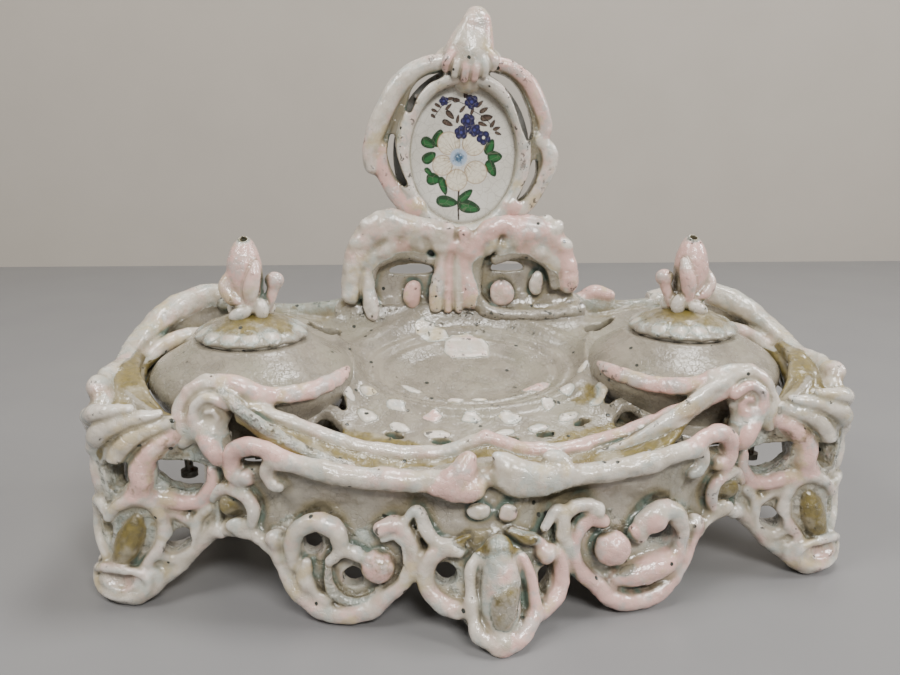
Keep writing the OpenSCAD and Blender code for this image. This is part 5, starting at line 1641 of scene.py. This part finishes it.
# ------------------------------------------------------------------ camera, floor, light
CAMERA_TURN = (-5.69, 14.70, 0.55)                # azimuth, elevation and roll, degrees
CAMERA_PLACE = (-38.6, -284.9, 159.7)             # mm
LENS, SENSOR = 32.0, 36.0                         # mm
WARM_WHITE, COOL_WHITE = (1.0, 0.98, 0.95), (0.98, 0.98, 1.0)
ROOM_LIGHT, ROOM_STRENGTH = (0.96, 0.97, 1.0, 1), 0.15


def make_camera():
    azimuth, elevation, roll = (math.radians(v) for v in CAMERA_TURN)
    back = Vector((math.sin(azimuth) * math.cos(elevation), -math.cos(azimuth) * math.cos(elevation),
        math.sin(elevation)))
    right = (-back).cross(Vector((0, 0, 1))).normalized()
    up = right.cross(-back)
    side = right * math.cos(roll) + up * math.sin(roll)
    above = up * math.cos(roll) - right * math.sin(roll)
    data = bpy.data.cameras.new("view")
    data.lens, data.sensor_width, data.clip_start = LENS, SENSOR, 0.01
    camera = bpy.data.objects.new("view", data)
    camera.matrix_world = Matrix.Translation(Vector(CAMERA_PLACE) * MM) \
        @ Matrix((side, above, back)).transposed().to_4x4()
    link(camera)
    bpy.context.scene.camera = camera


def stage_plane(name, corners, colour, roughness):
    mesh = bpy.data.meshes.new(name)
    mesh.from_pydata(corners, [], [list(range(len(corners)))])
    g = Graph(name + "_surface")
    cloud = g.noise(60, 1, 3.0)
    g.finish(g.mix(cloud, rgb(colour[0]), rgb(colour[1])), roughness)
    mesh.materials.append(g.material)
    plane = bpy.data.objects.new(name, mesh)
    link(plane)


def area_light(name, place, target, size, power, colour=(1, 1, 1)):
    data = bpy.data.lights.new(name, "AREA")
    data.shape, data.size, data.size_y, data.energy, data.color = \
        "RECTANGLE", size[0], size[1], power, colour
    light = bpy.data.objects.new(name, data)
    light.location = place
    light.rotation_euler = (Vector(target) - Vector(place)).to_track_quat("-Z", "Y").to_euler()
    link(light)


def make_stage():
    stage_plane("floor", [(-3, -3, 0), (3, -3, 0), (3, 3, 0), (-3, 3, 0)], ("787779", "80807F"), 0.38)
    stage_plane("backdrop", [(-3, 0.67, 0), (3, 0.67, 0), (3, 0.67, 3), (-3, 0.67, 3)],
        ("A8A197", "AFA89E"), 0.9)
    world = bpy.data.worlds.new("soft_room")
    world.use_nodes = True
    world.node_tree.nodes["Background"].inputs[0].default_value = ROOM_LIGHT
    world.node_tree.nodes["Background"].inputs[1].default_value = ROOM_STRENGTH
    bpy.context.scene.world = world
    target = (0, 0.02, 0.06)                          # the lamps point at the saucer, metres
    area_light("window", (-0.75, -0.30, 1.00), target, (0.40, 0.40), 9, WARM_WHITE)
    area_light("ceiling_back", (0.30, 0.16, 1.30), target, (0.45, 0.28), 11, WARM_WHITE)
    area_light("ceiling_front", (0.25, -1.00, 1.00), target, (0.60, 0.22), 19, WARM_WHITE)
    area_light("side", (1.1, -0.1, 0.75), target, (0.30, 0.40), 10.0, COOL_WHITE)


make_camera()
make_stage()
make_apron()
make_wings()
make_deck()
make_housings()
make_rail()
make_back_plate()
make_skirt()
make_plaque_frame()
make_crest()
make_plaque()
for place, label in ((-1, "left"), (1, "right")):
    make_lid(place, label, 3 if place < 0 else 5)
    make_finial(place, label)
    make_pot(place, label)
dress_cad_parts()
